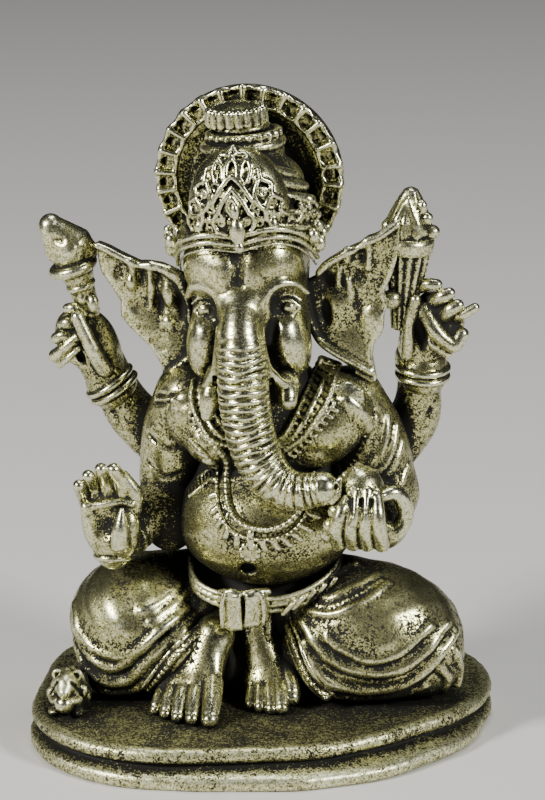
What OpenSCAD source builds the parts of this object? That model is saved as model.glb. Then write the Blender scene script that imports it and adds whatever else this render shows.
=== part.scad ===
// Seated elephant-headed deity statuette on a low oval plinth.
// Every sculpted element is a solid of its own, cemented to its neighbours.
// Millimetres. +Z is up, -Y is the front, the origin is under the middle of the plinth.
// "right" and "left" are the figure's own.

/* [Plinth] */
// Width of the plinth from side to side
plinth_w = 54.6; // [52:0.2:58]
// Depth of the plinth from front to back
plinth_d = 46.2; // [44:0.2:50]
// Thickness of the plinth
plinth_t = 4.6; // [4.4:0.1:5]
// Radius of the plinth's rounded ends
plinth_r = 17; // [15:0.5:18]
// Depth of the groove that runs round the plinth's edge
plinth_groove = 0.9; // [0.4:0.1:1.5]

/* [Body] */
// Width, depth and height of the belly
belly_size = [21.6, 18, 16]; // [14:0.5:22]
// Width, depth and height of the chest
chest_size = [20, 13, 14]; // [12:0.5:21]
// Diameter of the navel
navel_d = 1.8; // [1:0.1:2.4]
// Radius of the upper arms
arm_r = 3.3; // [2.8:0.1:3.6]
// Radius of the fingers
finger_r = 0.85; // [0.7:0.05:0.95]

/* [Head] */
// How far the head leans towards the figure's right, in degrees
head_lean = 4.5; // [0:0.5:8]
// How far the head turns towards the figure's right, in degrees
head_turn = 3; // [0:1:8]
// Radius of the trunk at its root
trunk_r = 3.2; // [2.8:0.1:3.5]
// Thickness of the ears
ear_t = 1.3; // [1:0.1:1.8]

/* [Crown and halo] */
// Radius of the halo's outer edge
halo_r = 11.4; // [10.8:0.1:11.8]
// Radius of the halo's inner bead
halo_bead_r = 8.9; // [8.6:0.1:9.2]
// Number of ribs round the halo
halo_ribs = 30; // [18:1:36]
// Number of beads round the crown's cap
cap_beads = 14; // [10:1:16]

/* [Hidden] */

bronze = [0.55, 0.48, 0.27];
dark_bronze = [0.30, 0.26, 0.15];
bright_bronze = [0.68, 0.61, 0.38];

top_z = plinth_t;                         // the figure sits on this plane
neck = [-0.9, 0, 45];                     // the point that the head leans and turns about
halo_z = 21.8;                            // the halo's centre above the neck point
halo_y = 4.2;                             // the halo's front plane behind the neck point
belly_at = [0.3, 0.5, 26.3];
chest_at = [0.3, 1.5, 37.5];
round_fn = 40;                            // facets round a true ball or cone
hull_fn = 16;                             // facets round the balls inside a thick hull
thin_fn = 12;                             // facets round the balls inside a thin hull

right_shoulder = [-9.5, 1.5, 40];
right_elbow = [-11.2, 1.8, 29.5];
right_wrist = [-15.8, -5.5, 25.2];
left_shoulder = [10.8, 1.5, 40];
left_elbow = [14.4, 1.8, 29.6];
left_wrist = [13.4, -6.5, 29.6];
right_back_root = [-12.3, 6, 33];
right_back_wrist = [-19.8, 5, 42.8];
left_back_root = [14.0, 6, 33];
left_back_wrist = [17.3, 5, 45.4];

// ---- shared shapes ----

module ball(at, r) {
    translate(at) sphere(r = r, $fn = round_fn);
}

// An ellipsoid of full width, depth and height `size`.
module egg(at, size, turn = [0, 0, 0]) {
    translate(at) rotate(turn) scale(size / 2) sphere(r = 1, $fn = round_fn);
}

// A rounded bar that follows points, with a radius at each one.
module limb(points, radii, fn = hull_fn) {
    for (i = [0 : len(points) - 2])
        hull()
            for (k = [i, i + 1])
                translate(points[k]) sphere(r = radii[k], $fn = fn);
}

// Stands its children's +Z on the line from point a to point b.
module along(a, b) {
    d = b - a;
    translate(a) rotate([0, acos(d.z / norm(d)), atan2(d.y, d.x)]) children();
}

// A finger or toe that tapers slightly from its base a to its tip b.
module finger(a, b, r) {
    limb([a, b], [r * 1.05, r * 0.9], thin_fn);
}

// Carries its children on the leaning, turned head.
module on_head() {
    translate(neck) rotate([0, -head_lean, 0]) rotate([0, 0, -head_turn]) children();
}

// ---- plinth ----

// One layer of the plinth: the convex outline round equal circles on the given centres.
module lobed_layer(lobes, r, z, h) {
    translate([0, 0, z])
        linear_extrude(h)
            hull()
                for (at = lobes)
                    translate(at) circle(r = r, $fn = 72);
}

// A broad lower roll, a groove and a narrower upper roll. The front is fuller on the figure's
// right, and the lower roll reaches further out at the front left.
module plinth() {
    x = plinth_w / 2 - plinth_r;
    y = plinth_d / 2 - plinth_r;
    lower = [[-x, -y], [-6, -y], [2.3, 1.1 - y], [6, 2.9 - y], [x - 0.6, 1.5], [x, y], [-x, y]];
    upper = [[-x, 0.9 - y], [-6.5, 1.4 - y], [1.9, 3.2 - y], [5.6, 0], [x - 0.6, 4.4], [x, y - 0.6],
             [-x, y - 0.6]];
    r = plinth_r;
    color(bronze) {
        lobed_layer(lower, r - 0.4, 0, 0.5);
        lobed_layer(lower, r, 0.5, 1.5);
        lobed_layer(upper, r - plinth_groove, 2.0, 1.0);
        lobed_layer(upper, r - 0.1, 3.0, plinth_t - 3.5);
        lobed_layer(upper, r - 0.6, plinth_t - 0.5, 0.5);
    }
}

// ---- lower body ----

module dhoti_seat() {
    r = 6.6;
    color(dark_bronze)
        hull()
            for (at = [[-11, 6, top_z + r], [11, 6, top_z + r], [-5, 3, top_z + r], [5, 3, top_z + r],
                       [0, 6, top_z + r + 4]])
                translate(at) sphere(r = r, $fn = hull_fn);
}

module torso() {
    color(bronze)
        difference() {
            union() {
                egg(belly_at, belly_size);
                egg(chest_at, chest_size);
                ball([-6.5, -3.2, 37.6], 3.0);
                ball([7.2, -3.2, 38.8], 3.2);
                translate([0, 1.5, 39]) cylinder(h = 7, r1 = 7.5, r2 = 4.6, $fn = round_fn);
                for (side = [right_shoulder, left_shoulder])
                    ball(side + [0, 0, 0.2], 3.0);
            }
            ball([-1, -8.2, 23.8], navel_d / 2);
        }
}

module right_leg() {
    color(bronze) {
        egg([-14.8, -0.6, 13.2], [17.6, 17.4, 16.4], [0, -6, -8]);
        limb([[-13, -2, 9.6], [-7.2, -3.4, 10.2]], [4.8, 3.8]);
    }
}

module left_leg() {
    color(bronze) {
        egg([13.4, 0, 12.6], [21.6, 16.4, 15.6], [0, 6, 8]);
        limb([[20, 2.5, 9], [9, -1.6, 8.4], [3.4, -0.6, 9.2]], [4.3, 3.6, 3.0]);
    }
}

// A foot is an instep with five toes; each toe is a base point and a tip.
module foot(instep, radii, toes, big_toe_r) {
    color(bright_bronze) {
        hull()
            for (i = [0 : len(instep) - 1])
                translate(instep[i]) sphere(r = radii[i], $fn = hull_fn);
        for (i = [0 : len(toes) - 1])
            finger(toes[i][0], toes[i][1], i == 0 ? big_toe_r : finger_r - 0.03 * i);
    }
}

module right_foot() {
    z = top_z + 0.9;
    foot([[-5.6, -4.6, 12.4], [-5.4, -9.6, z + 1.0], [-10.4, -6.8, z + 0.6], [-5.8, -2.6, z + 1.4]],
         [2.5, 1.7, 1.4, 2.2],
         [[[-5.1, -10, z + 0.5], [-5.1, -12.4, z + 0.2]],
          [[-7, -9.6, z + 0.3], [-7.2, -12, z]],
          [[-8.4, -8.9, z + 0.2], [-8.7, -11.1, z]],
          [[-9.7, -8.1, z + 0.1], [-10.1, -9.9, z]],
          [[-10.9, -7.1, z], [-11.4, -8.5, z]]], 1.15);
}

module left_foot() {
    z = top_z + 0.9;
    foot([[-0.5, 0, 12], [3.6, -2.0, z + 1.2], [0, -4.2, z + 0.7], [0, 1, z + 1.4]],
         [2.4, 1.6, 1.4, 2.0],
         [[[3.0, -3.2, z + 0.9], [4.0, -5.6, z + 0.3]],
          [[2.5, -4.2, z + 0.3], [3.1, -6.7, z]],
          [[1.4, -4.8, z + 0.2], [1.8, -7.2, z]],
          [[0.2, -5.0, z + 0.1], [0.4, -7.1, z]],
          [[-0.9, -4.6, z], [-1.0, -6.4, z]]], 1.15);
}

module dhoti_border_right() {
    color(bright_bronze)
        limb([[-2.8, -6.2, 14.4], [-6.0, -8.2, 11.6], [-10.0, -8.6, 9.0], [-13.2, -8.2, 6.6]], [0.9, 0.9, 0.9, 0.8], thin_fn);
}

module dhoti_border_left() {
    color(bright_bronze)
        limb([[1.8, -4.8, 15.0], [3.8, -5.0, 11.6], [5.6, -5.4, 8.6], [7.6, -5.8, 6.2]], [0.9, 0.9, 0.9, 0.8], thin_fn);
}

module waist_sash() {
    color(dark_bronze)
        limb([[-9.9, -2.4, 22.6], [-7.2, -5.6, 20.2], [-3.2, -7.2, 18.6], [1.6, -7.4, 18.4],
              [6.6, -6.4, 19.6], [10.2, -3.2, 22.2]], [1.1, 1.2, 1.2, 1.2, 1.2, 1.1], thin_fn);
}

module sash_knot() {
    color(bright_bronze) {
        egg([-2.4, -7.6, 17.6], [3.2, 3.0, 5.2], [0, 6, 0]);
        egg([0.4, -7.6, 17.6], [3.2, 3.0, 5.2], [0, -6, 0]);
    }
}

// ---- head ----

module head() {
    color(bronze)
        on_head()
            difference() {
                union() {
                    egg([0, 0.5, 12.6], [15.4, 13.6, 13.4]);
                    egg([-2.9, -2.6, 13.8], [7.4, 7.6, 8.0]);
                    egg([2.9, -2.6, 13.8], [7.4, 7.6, 8.0]);
                    egg([0, 0, 5.6], [13.4, 11, 13]);
                    egg([-4.7, -2.4, 4.8], [5.0, 6.6, 10.4], [0, 8, 0]);
                    egg([4.7, -2.4, 4.8], [5.0, 6.6, 10.4], [0, -8, 0]);
                }
                for (side = [-1, 1])
                    egg([side * 4.6, -6.9, 9.4], [3.2, 3.0, 2.6]);
            }
}

module trunk() {
    r = trunk_r;
    color(bronze)
        limb([neck + [-0.9, -5.6, 9.8], neck + [-0.8, -8.0, 6.4], neck + [-0.4, -8.9, 2.4], [-0.9, -9.4, 43],
              [0.2, -9.8, 38.2], [2.2, -10.4, 34.8], [5.0, -10.8, 33.4], [8.4, -11.0, 33.9]],
             [r * 0.9, r * 1.02, r, r * 0.97, r * 0.94, r * 0.88, r * 0.76, r * 0.62]);
}

module tusk(side) {
    base = [side * 4.0, -5.4, -0.2];
    tip = base + [side * 0.5, -1.6, -3.0];
    color(bright_bronze)
        on_head() {
            along(base, tip) cylinder(h = norm(tip - base), r1 = 1.4, r2 = 0.9, $fn = round_fn);
            ball(tip, 0.9);
        }
}

module right_tusk() { tusk(-1); }

module left_tusk() { tusk(1); }

// Ear in its own plane, x outwards from the head and y up.
module ear_outline() {
    polygon([[6.6, 10.4], [9.4, 13.2], [13.2, 15.0], [17.9, 16.4], [16.6, 12.6], [15.9, 9.4],
             [15.3, 6.6], [13.8, 3.6], [13.0, 1.4], [12.6, -0.8], [10.0, 0.8], [7.4, 2.8],
             [6.0, 5.4], [5.9, 8.2]]);
}

// A flat ear with a rolled upper rim; side is +1 for the figure's left and -1 for its right.
module ear(side) {
    color(bronze)
        on_head()
            translate([0, 0.9, 0])
                rotate([90, 0, 0]) {
                    linear_extrude(ear_t, center = true) scale([side, 1]) ear_outline();
                    limb([[side * 8.0, 11.4, 0.6], [side * 9.8, 12.9, 0.7], [side * 13.4, 14.7, 0.7],
                          [side * 16.8, 15.8, 0.5]], [0.6, 0.6, 0.6, 0.45], thin_fn);
                }
}

module left_ear() { ear(1); }

module right_ear() { ear(-1); }

// ---- crown and halo ----

module headband() {
    color(bright_bronze)
        on_head()
            translate([0, 0.6, 15.6])
                scale([1, 0.92, 1])
                    rotate_extrude($fn = 64)
                        translate([7.3, 0]) circle(r = 0.8, $fn = 24);
}

// A turban-like crown: flattened rolls, one above another, each given as height above the neck
// point, half width and thickness.
module crown() {
    rolls = [[17.4, 7.5, 5.4], [20.0, 7.2, 4.4], [22.2, 6.7, 4.0], [24.2, 6.1, 3.6], [26.0, 5.3, 3.2],
             [27.5, 4.4, 2.6]];
    color(bronze)
        on_head()
            for (roll = rolls)
                egg([0, 0.4, roll[0]], [2 * roll[1], 1.64 * roll[1], roll[2]]);
}

// A low fluted drum on a narrower neck.
module crown_cap() {
    color(bright_bronze)
        on_head()
            translate([0, 0.4, 28.3]) {
                cylinder(h = 0.8, r = 3.2, $fn = round_fn);
                translate([0, 0, 0.6])
                    linear_extrude(2) {
                        circle(r = 3.2, $fn = round_fn);
                        for (k = [0 : cap_beads - 1])
                            rotate(360 * k / cap_beads)
                                translate([3.1, 0])
                                    circle(r = 0.75, $fn = 20);
                    }
                translate([0, 0, 2.4]) cylinder(h = 0.5, r1 = 3.4, r2 = 2.4, $fn = round_fn);
            }
}

// A leaf-shaped plate that leans back against the crown.
module crown_crest() {
    color(bright_bronze)
        on_head()
            translate([0, -6.4, 16.6])
                rotate([76, 0, 0])
                    linear_extrude(1.3, center = true)
                        polygon([[-5.8, 0.2], [-5.6, 3.0], [-4.2, 5.6], [-2.6, 7.6], [-1.0, 9.4], [0, 10.2],
                                 [1.0, 9.4], [2.6, 7.6], [4.2, 5.6], [5.6, 3.0], [5.8, 0.2], [0, -0.8]]);
}

module crest_jewel() {
    color(bright_bronze) on_head() egg([0, -7.4, 17.6], [1.9, 1.6, 3.4]);
}

module halo_dish() {
    color(dark_bronze)
        on_head()
            translate([0, halo_y + 1.6, halo_z])
                rotate([90, 0, 0])
                    rotate_extrude($fn = 72)
                        polygon([[0, -1.0], [halo_r - 1.2, -1.0], [halo_r - 1.2, 0.2], [halo_bead_r, 0.2],
                                 [halo_bead_r - 1.4, -0.1], [0, 0]]);
}

module halo_ring() {
    mid = (halo_r + halo_bead_r) / 2;
    color(bright_bronze)
        on_head()
            translate([0, halo_y + 1.6, halo_z])
                rotate([90, 0, 0]) {
                    rotate_extrude($fn = 72) translate([halo_bead_r, 0.9]) circle(r = 0.7, $fn = 24);
                    rotate_extrude($fn = 72) translate([halo_r - 0.55, 0.6]) circle(r = 0.55, $fn = 24);
                    rotate_extrude($fn = 72)
                        translate([halo_bead_r, 0]) square([halo_r - halo_bead_r - 0.4, 0.5]);
                    for (k = [0 : halo_ribs - 1])
                        rotate([0, 0, 360 * (k + 0.5) / halo_ribs])
                            translate([mid, 0, 0.7]) cube([2.0, 0.55, 1.1], center = true);
                }
}

// ---- front arms ----

module right_upper_arm() {
    color(bronze)
        limb([right_shoulder, (right_shoulder + right_elbow) / 2, right_elbow], [arm_r + 0.1, arm_r, arm_r - 0.2]);
}

module right_forearm() {
    color(bronze) limb([right_elbow + [-0.4, -1.6, -1], right_wrist], [arm_r - 0.5, 2.2]);
}

// An open palm towards the front, with its fingers up.
module right_hand() {
    color(bright_bronze) {
        egg([-17.0, -7.0, 27.0], [6.9, 3.2, 8.0]);
        finger([-19.2, -7.4, 29.4], [-20.0, -7.8, 32.6], finger_r - 0.1);
        finger([-17.9, -7.4, 29.8], [-18.5, -7.8, 33.7], finger_r);
        finger([-16.6, -7.4, 29.8], [-17.0, -7.8, 34.3], finger_r);
        finger([-15.1, -7.2, 29.4], [-15.2, -7.6, 33.8], finger_r);
        finger([-15.4, -7.8, 25.6], [-15.6, -9.0, 29.2], finger_r + 0.15);
    }
}

module left_sleeve() {
    color(bronze)
        limb([left_shoulder, (left_shoulder + left_elbow) / 2, left_elbow], [arm_r + 0.4, arm_r + 0.7, arm_r + 0.6]);
}

module left_forearm() {
    color(bronze) limb([left_elbow + [0, -1.8, -0.2], left_wrist], [arm_r - 0.2, 2.9]);
}

// A cupped palm, with the fingers curled up in front of the sweet.
module left_hand() {
    color(bright_bronze) {
        egg([12.4, -9.2, 28.7], [7.2, 5.2, 4.8]);
        for (k = [0 : 3])
            finger([9.6 + 1.75 * k, -11.0, 28.0], [9.9 + 1.6 * k, -11.4, 32.4 + (k == 3 ? -0.8 : 0)], finger_r);
        finger([8.8, -9.2, 28.4], [8.6, -9.8, 31.4], finger_r);
    }
}

module sweet() {
    color(bright_bronze)
        difference() {
            ball([12.4, -8.8, 33.2], 2.8);
            egg([12.4, -9.2, 28.7], [7.2, 5.2, 4.8]);
        }
}

// ---- back arms ----

module back_arm(root, wrist, bow) {
    color(bronze) limb([root, (root + wrist) / 2 + bow, wrist], [arm_r + 0.1, arm_r - 0.2, 2.4]);
}

module bracelet(root, wrist, share, r) {
    at = root + (wrist - root) * share;
    color(bright_bronze)
        along(at, wrist + (wrist - root))
            rotate_extrude($fn = 48)
                translate([r, 0]) square([1.0, 2.0], center = true);
}

module right_back_arm() { back_arm(right_back_root, right_back_wrist, [-0.8, 0.2, -0.8]); }

module right_back_bracelet() { bracelet(right_back_root, right_back_wrist, 0.86, 2.9); }

module right_back_hand() {
    color(bright_bronze) {
        egg([-21.2, 4.4, 46.6], [4.8, 4.2, 7.6], [0, -16, 0]);
        for (k = [0 : 3])
            finger([-22.2 + 0.4 * k, 3.2, 44.9 + 1.55 * k], [-24.2 + 0.5 * k, 2.6, 46.0 + 1.45 * k], finger_r);
        finger([-20.6, 2.8, 45.4], [-20.0, 2.2, 49.6], finger_r);
    }
}

// A bud on a short stem: half outlines are radius and height along the stem.
module lotus_bud() {
    color(bronze)
        along([-20.4, 3.8, 49.4], [-26.0, 2.2, 62.4])
            rotate_extrude($fn = 48)
                polygon([[0, 0], [1.2, 0], [1.3, 3.0], [2.4, 3.8], [2.6, 5.0], [3.1, 6.4], [3.0, 8.0],
                         [2.4, 10.4], [1.5, 12.6], [0.7, 13.8], [0, 14.1]]);
}

module left_back_arm() { back_arm(left_back_root, left_back_wrist, [1.0, 0.2, 0]); }

module left_back_bracelet() { bracelet(left_back_root, left_back_wrist, 0.86, 3.0); }

module left_back_hand() {
    color(bright_bronze) {
        egg([18.2, 4.2, 48.6], [5.0, 4.4, 7.4], [0, 14, 0]);
        for (k = [0 : 3])
            finger([18.4 + 0.9 * k, 2.4, 52.2 - 0.95 * k], [20.2 + 1.1 * k, 1.6, 52.8 - 0.95 * k], finger_r);
        finger([16.2, 2.8, 47.2], [16.0, 2.0, 50.8], finger_r);
    }
}

module conch() {
    color(bronze)
        along([16.0, 3.0, 49.6], [17.2, 2.4, 66.8])
            rotate_extrude($fn = 48)
                polygon([[0, 0], [1.3, 0], [2.0, 4.0], [2.9, 8.0], [3.3, 8.4], [3.3, 9.6], [2.9, 10.0],
                         [3.2, 11.4], [2.6, 13.4], [1.6, 15.6], [0.6, 17.0], [0, 17.2]]);
}

// ---- ornaments ----

module collar() {
    color(dark_bronze)
        limb([[-8.2, -1.6, 43.6], [-6.8, -4.6, 40.8], [-3.4, -6.2, 38.4], [2.6, -6.2, 38.2],
              [6.6, -4.6, 41.4], [9.4, -1.4, 44.2]], [1.2, 1.3, 1.3, 1.3, 1.3, 1.2], thin_fn);
}

module garland() {
    color(dark_bronze)
        limb([[-6.4, -5.8, 37.2], [-6.2, -7.2, 33.2], [-4.6, -8.3, 29.0], [-1.6, -9.0, 26.4],
              [2.0, -9.0, 26.2], [5.0, -8.4, 27.8], [6.6, -7.4, 31.0]], [1.1, 1.1, 1.1, 1.1, 1.1, 1.1, 1.0], thin_fn);
}

module pendant() {
    color(bright_bronze)
        translate([-0.7, -8.4, 24.9])
            rotate([78, 0, 0]) {
                cylinder(h = 1.6, r = 1.2, $fn = round_fn);
                for (k = [0 : 5])
                    rotate([0, 0, 60 * k]) translate([1.1, 0, 0.8]) sphere(r = 0.65, $fn = round_fn);
            }
}

module shoulder_fringe(at, lean) {
    color(bright_bronze) egg(at, [4.8, 2.4, 4.6], [0, lean, 0]);
}

module right_shoulder_fringe() { shoulder_fringe([-9.6, -2.0, 41.4], -25); }

module left_shoulder_fringe() { shoulder_fringe([10.8, -2.0, 41.4], 25); }

// ---- mouse ----

module mouse() {
    color(bronze) {
        egg([-22.2, -9.2, top_z + 2.4], [4.8, 6.0, 5.2]);
        egg([-22.2, -11.2, top_z + 4.0], [3.0, 3.4, 3.0]);
        for (side = [-1, 1])
            ball([-22.2 + side * 1.3, -10.6, top_z + 5.3], 0.8);
    }
}

module mouse_sweet() {
    color(bright_bronze) ball([-22.2, -12.8, top_z + 1.9], 1.2);
}

plinth();
dhoti_seat();
torso();
right_leg();
left_leg();
right_foot();
left_foot();
dhoti_border_right();
dhoti_border_left();
waist_sash();
sash_knot();
head();
trunk();
right_tusk();
left_tusk();
right_ear();
left_ear();
headband();
crown();
crown_cap();
crown_crest();
crest_jewel();
halo_dish();
halo_ring();
right_upper_arm();
right_forearm();
right_hand();
left_sleeve();
left_forearm();
left_hand();
sweet();
right_back_arm();
right_back_bracelet();
right_back_hand();
lotus_bud();
left_back_arm();
left_back_bracelet();
left_back_hand();
conch();
collar();
garland();
pendant();
right_shoulder_fringe();
left_shoulder_fringe();
mouse();
mouse_sweet();
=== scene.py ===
"""A small cast figurine: a seated, elephant-headed, four-armed deity with an antique-brass finish.

Sizes are in millimetres in the figurine's own frame: +Z up, -Y to the front, the origin under the
middle of the plinth. "Right" and "left" are the figure's own. Meshes are made in metres.

The real figurine was modelled in clay and cast, so its flesh and cloth are modelled the same way:
Clay is a block of signed distances that rounded forms are pressed into and cut out of, and its skin
becomes the mesh. The plinth and the halo's dish are made with bmesh operators.
"""

import logging
import math
from collections.abc import Callable, Sequence
from dataclasses import dataclass, field
from enum import Enum

import bmesh
import bpy
import numpy as np
from mathutils import Matrix, Vector


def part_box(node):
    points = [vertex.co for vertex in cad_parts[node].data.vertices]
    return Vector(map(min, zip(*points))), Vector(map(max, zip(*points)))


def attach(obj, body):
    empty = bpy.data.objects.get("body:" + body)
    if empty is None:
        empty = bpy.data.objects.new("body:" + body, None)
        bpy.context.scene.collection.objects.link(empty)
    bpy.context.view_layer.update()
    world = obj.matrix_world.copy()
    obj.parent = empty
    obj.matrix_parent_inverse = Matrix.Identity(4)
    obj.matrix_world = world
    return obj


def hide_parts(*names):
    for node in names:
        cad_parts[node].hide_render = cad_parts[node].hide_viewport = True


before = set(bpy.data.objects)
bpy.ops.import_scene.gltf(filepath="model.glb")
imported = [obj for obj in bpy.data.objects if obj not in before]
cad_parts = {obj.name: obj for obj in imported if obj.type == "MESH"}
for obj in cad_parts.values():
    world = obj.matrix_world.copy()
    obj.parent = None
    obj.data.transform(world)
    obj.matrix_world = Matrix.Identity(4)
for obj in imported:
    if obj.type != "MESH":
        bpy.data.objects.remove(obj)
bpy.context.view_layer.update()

LOG = logging.getLogger("figurine")
MM = 0.001
FAR = 6.0
Point = tuple[float, float, float]
Array = np.ndarray
# where the middle of a CAD node's box is in the figurine as it is drawn here
DRAWN: dict[str, Point] = {
    "plinth": (0.0, 0.0, 2.3),
    "dhoti_seat": (0.0, 4.5, 13.2),
    "torso": (0.65, 0.5, 32.15),
    "head": (-1.8, 0.4, 54.2),
    "crown": (-2.25, 0.4, 66.7),
    "right_upper_arm": (-10.2, 1.55, 34.9),
    "right_back_arm": (-15.55, 6.0, 37.4),
    "mouse": (-22.2, -9.55, 7.55),
}


# ---- poses and forms -------------------------------------------------------------------------


@dataclass(frozen=True)
class Pose:
    """Where a group of pieces stands: turned about Z, then leaned about Y, then moved."""

    origin: Point = (0.0, 0.0, 0.0)
    lean: float = 0.0
    turn: float = 0.0

    def matrix(self) -> Array:
        """The 3 by 3 rotation from the group's own axes to the figure's."""
        lean = Matrix.Rotation(math.radians(-self.lean), 3, "Y")
        turn = Matrix.Rotation(math.radians(-self.turn), 3, "Z")
        return np.array(lean @ turn)

    def out(self, points: Sequence[Point] | Array) -> Array:
        """Take points from the group's own axes to the figure's.

        Args:
            points: One row for each point.

        Returns:
            The same points in the figure's frame.
        """
        return np.atleast_2d(np.asarray(points, float)) @ self.matrix().T + np.array(self.origin)

    def into(self, x: Array, y: Array, z: Array) -> tuple[Array, Array, Array]:
        """Take coordinates from the figure's frame to the group's own axes.

        Args:
            x: First coordinates.
            y: Second coordinates.
            z: Third coordinates.

        Returns:
            The three coordinates in the group's own axes.
        """
        r = self.matrix()
        x, y, z = x - self.origin[0], y - self.origin[1], z - self.origin[2]
        return (
            r[0, 0] * x + r[1, 0] * y + r[2, 0] * z,
            r[0, 1] * x + r[1, 1] * y + r[2, 1] * z,
            r[0, 2] * x + r[1, 2] * y + r[2, 2] * z,
        )


@dataclass(frozen=True)
class Form:
    """A solid form: its box and the signed distance to its surface, negative inside."""

    low: Array
    high: Array
    distance: Callable[[Array, Array, Array], Array]

    def posed(self, pose: Pose) -> "Form":
        """Stand the form in a pose.

        Args:
            pose: The pose of the group that the form belongs to.

        Returns:
            The same form in the figure's frame.
        """
        corners = [[(self.low, self.high)[i][0], (self.low, self.high)[j][1], (self.low, self.high)[k][2]]
                   for i in (0, 1) for j in (0, 1) for k in (0, 1)]
        out = pose.out(corners)
        return Form(out.min(0), out.max(0), lambda x, y, z: self.distance(*pose.into(x, y, z)))


def egg(centre: Point, radii: Point, turn: Point = (0, 0, 0)) -> Form:
    """An ellipsoid.

    Args:
        centre: Its middle.
        radii: Its three half sizes.
        turn: Turns in degrees about X, Y and Z, taken in that order.

    Returns:
        The form.
    """
    r = Matrix.Rotation(math.radians(turn[2]), 3, "Z") @ Matrix.Rotation(math.radians(turn[1]), 3, "Y")
    r = np.array(r @ Matrix.Rotation(math.radians(turn[0]), 3, "X"))
    a, b, c = radii

    def distance(x: Array, y: Array, z: Array) -> Array:
        """Near distance to the ellipsoid."""
        x, y, z = x - centre[0], y - centre[1], z - centre[2]
        if any(turn):
            x, y, z = (r[0, 0] * x + r[1, 0] * y + r[2, 0] * z, r[0, 1] * x + r[1, 1] * y + r[2, 1] * z,
                       r[0, 2] * x + r[1, 2] * y + r[2, 2] * z)
        near = np.sqrt((x / a) ** 2 + (y / b) ** 2 + (z / c) ** 2)
        steep = np.sqrt((x / a**2) ** 2 + (y / b**2) ** 2 + (z / c**2) ** 2)
        return near * (near - 1.0) / np.maximum(steep, 1e-6)

    reach = max(radii) if any(turn) else np.array(radii)
    return Form(np.array(centre) - reach, np.array(centre) + reach, distance)


def bar(a: Point, b: Point, ra: float, rb: float | None = None) -> Form:
    """A round-ended bar whose radius runs from one value to another.

    Args:
        a: First end.
        b: Second end.
        ra: Radius at the first end.
        rb: Radius at the second end, or the same as the first.

    Returns:
        The form.
    """
    a, b = np.array(a, float), np.array(b, float)
    rb = ra if rb is None else rb
    d = b - a
    span = float(d @ d) + 1e-9

    def distance(x: Array, y: Array, z: Array) -> Array:
        """Distance to the bar."""
        t = ((x - a[0]) * d[0] + (y - a[1]) * d[1] + (z - a[2]) * d[2]) / span
        t = np.clip(t, 0.0, 1.0)
        gap = np.sqrt((x - a[0] - t * d[0]) ** 2 + (y - a[1] - t * d[1]) ** 2 + (z - a[2] - t * d[2]) ** 2)
        return gap - (ra + (rb - ra) * t)

    reach = max(ra, rb)
    return Form(np.minimum(a, b) - reach, np.maximum(a, b) + reach, distance)


def smooth_path(points: Sequence[Sequence[float]], steps: int = 6) -> Array:
    """Run a smooth curve through points.

    Args:
        points: Rows of any length: coordinates, and whatever else varies along the curve.
        steps: Pieces between two neighbouring points.

    Returns:
        The rows along the curve.
    """
    p = np.asarray(points, float)
    p = np.vstack([2 * p[0] - p[1], p, 2 * p[-1] - p[-2]])
    rows = []
    for i in range(1, len(p) - 2):
        for t in np.arange(steps) / steps:
            rows.append(0.5 * (2 * p[i] + (p[i + 1] - p[i - 1]) * t
                               + (2 * p[i - 1] - 5 * p[i] + 4 * p[i + 1] - p[i + 2]) * t**2
                               + (3 * p[i] - p[i - 1] - 3 * p[i + 1] + p[i + 2]) * t**3))
    return np.array(rows + [p[-2]])


def rope(points: Sequence[Point], radii: float | Sequence[float], steps: int = 6) -> list[Form]:
    """A round strand along a smooth curve.

    Args:
        points: What the curve runs through.
        radii: One radius, or one at each point.
        steps: Pieces between two neighbouring points.

    Returns:
        The strand as a run of short bars.
    """
    radii = [radii] * len(points) if isinstance(radii, (int, float)) else radii
    path = smooth_path([(*p, r) for p, r in zip(points, radii)], steps)
    return [bar(p[:3], q[:3], max(p[3], 0.02), max(q[3], 0.02)) for p, q in zip(path[:-1], path[1:])]


def polygon_distance(outline: Sequence[tuple[float, float]], u: Array, v: Array) -> Array:
    """Signed distance to a polygon in a plane.

    Args:
        outline: The polygon's corners in order.
        u: First coordinates.
        v: Second coordinates.

    Returns:
        The distance, negative inside.
    """
    corners = np.asarray(outline, float)
    best, side = None, None
    for (au, av), (bu, bv) in zip(corners, np.roll(corners, -1, axis=0)):
        eu, ev = bu - au, bv - av
        wu, wv = u - au, v - av
        t = np.clip((wu * eu + wv * ev) / (eu * eu + ev * ev), 0, 1)
        d = (wu - eu * t) ** 2 + (wv - ev * t) ** 2
        best = d if best is None else np.minimum(best, d)
        up, down, left = (v >= av), (v < bv), (eu * wv > ev * wu)
        flip = np.where((up & down & left) | (~up & ~down & ~left), -1.0, 1.0)
        side = flip if side is None else side * flip
    return side * np.sqrt(best)


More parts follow.
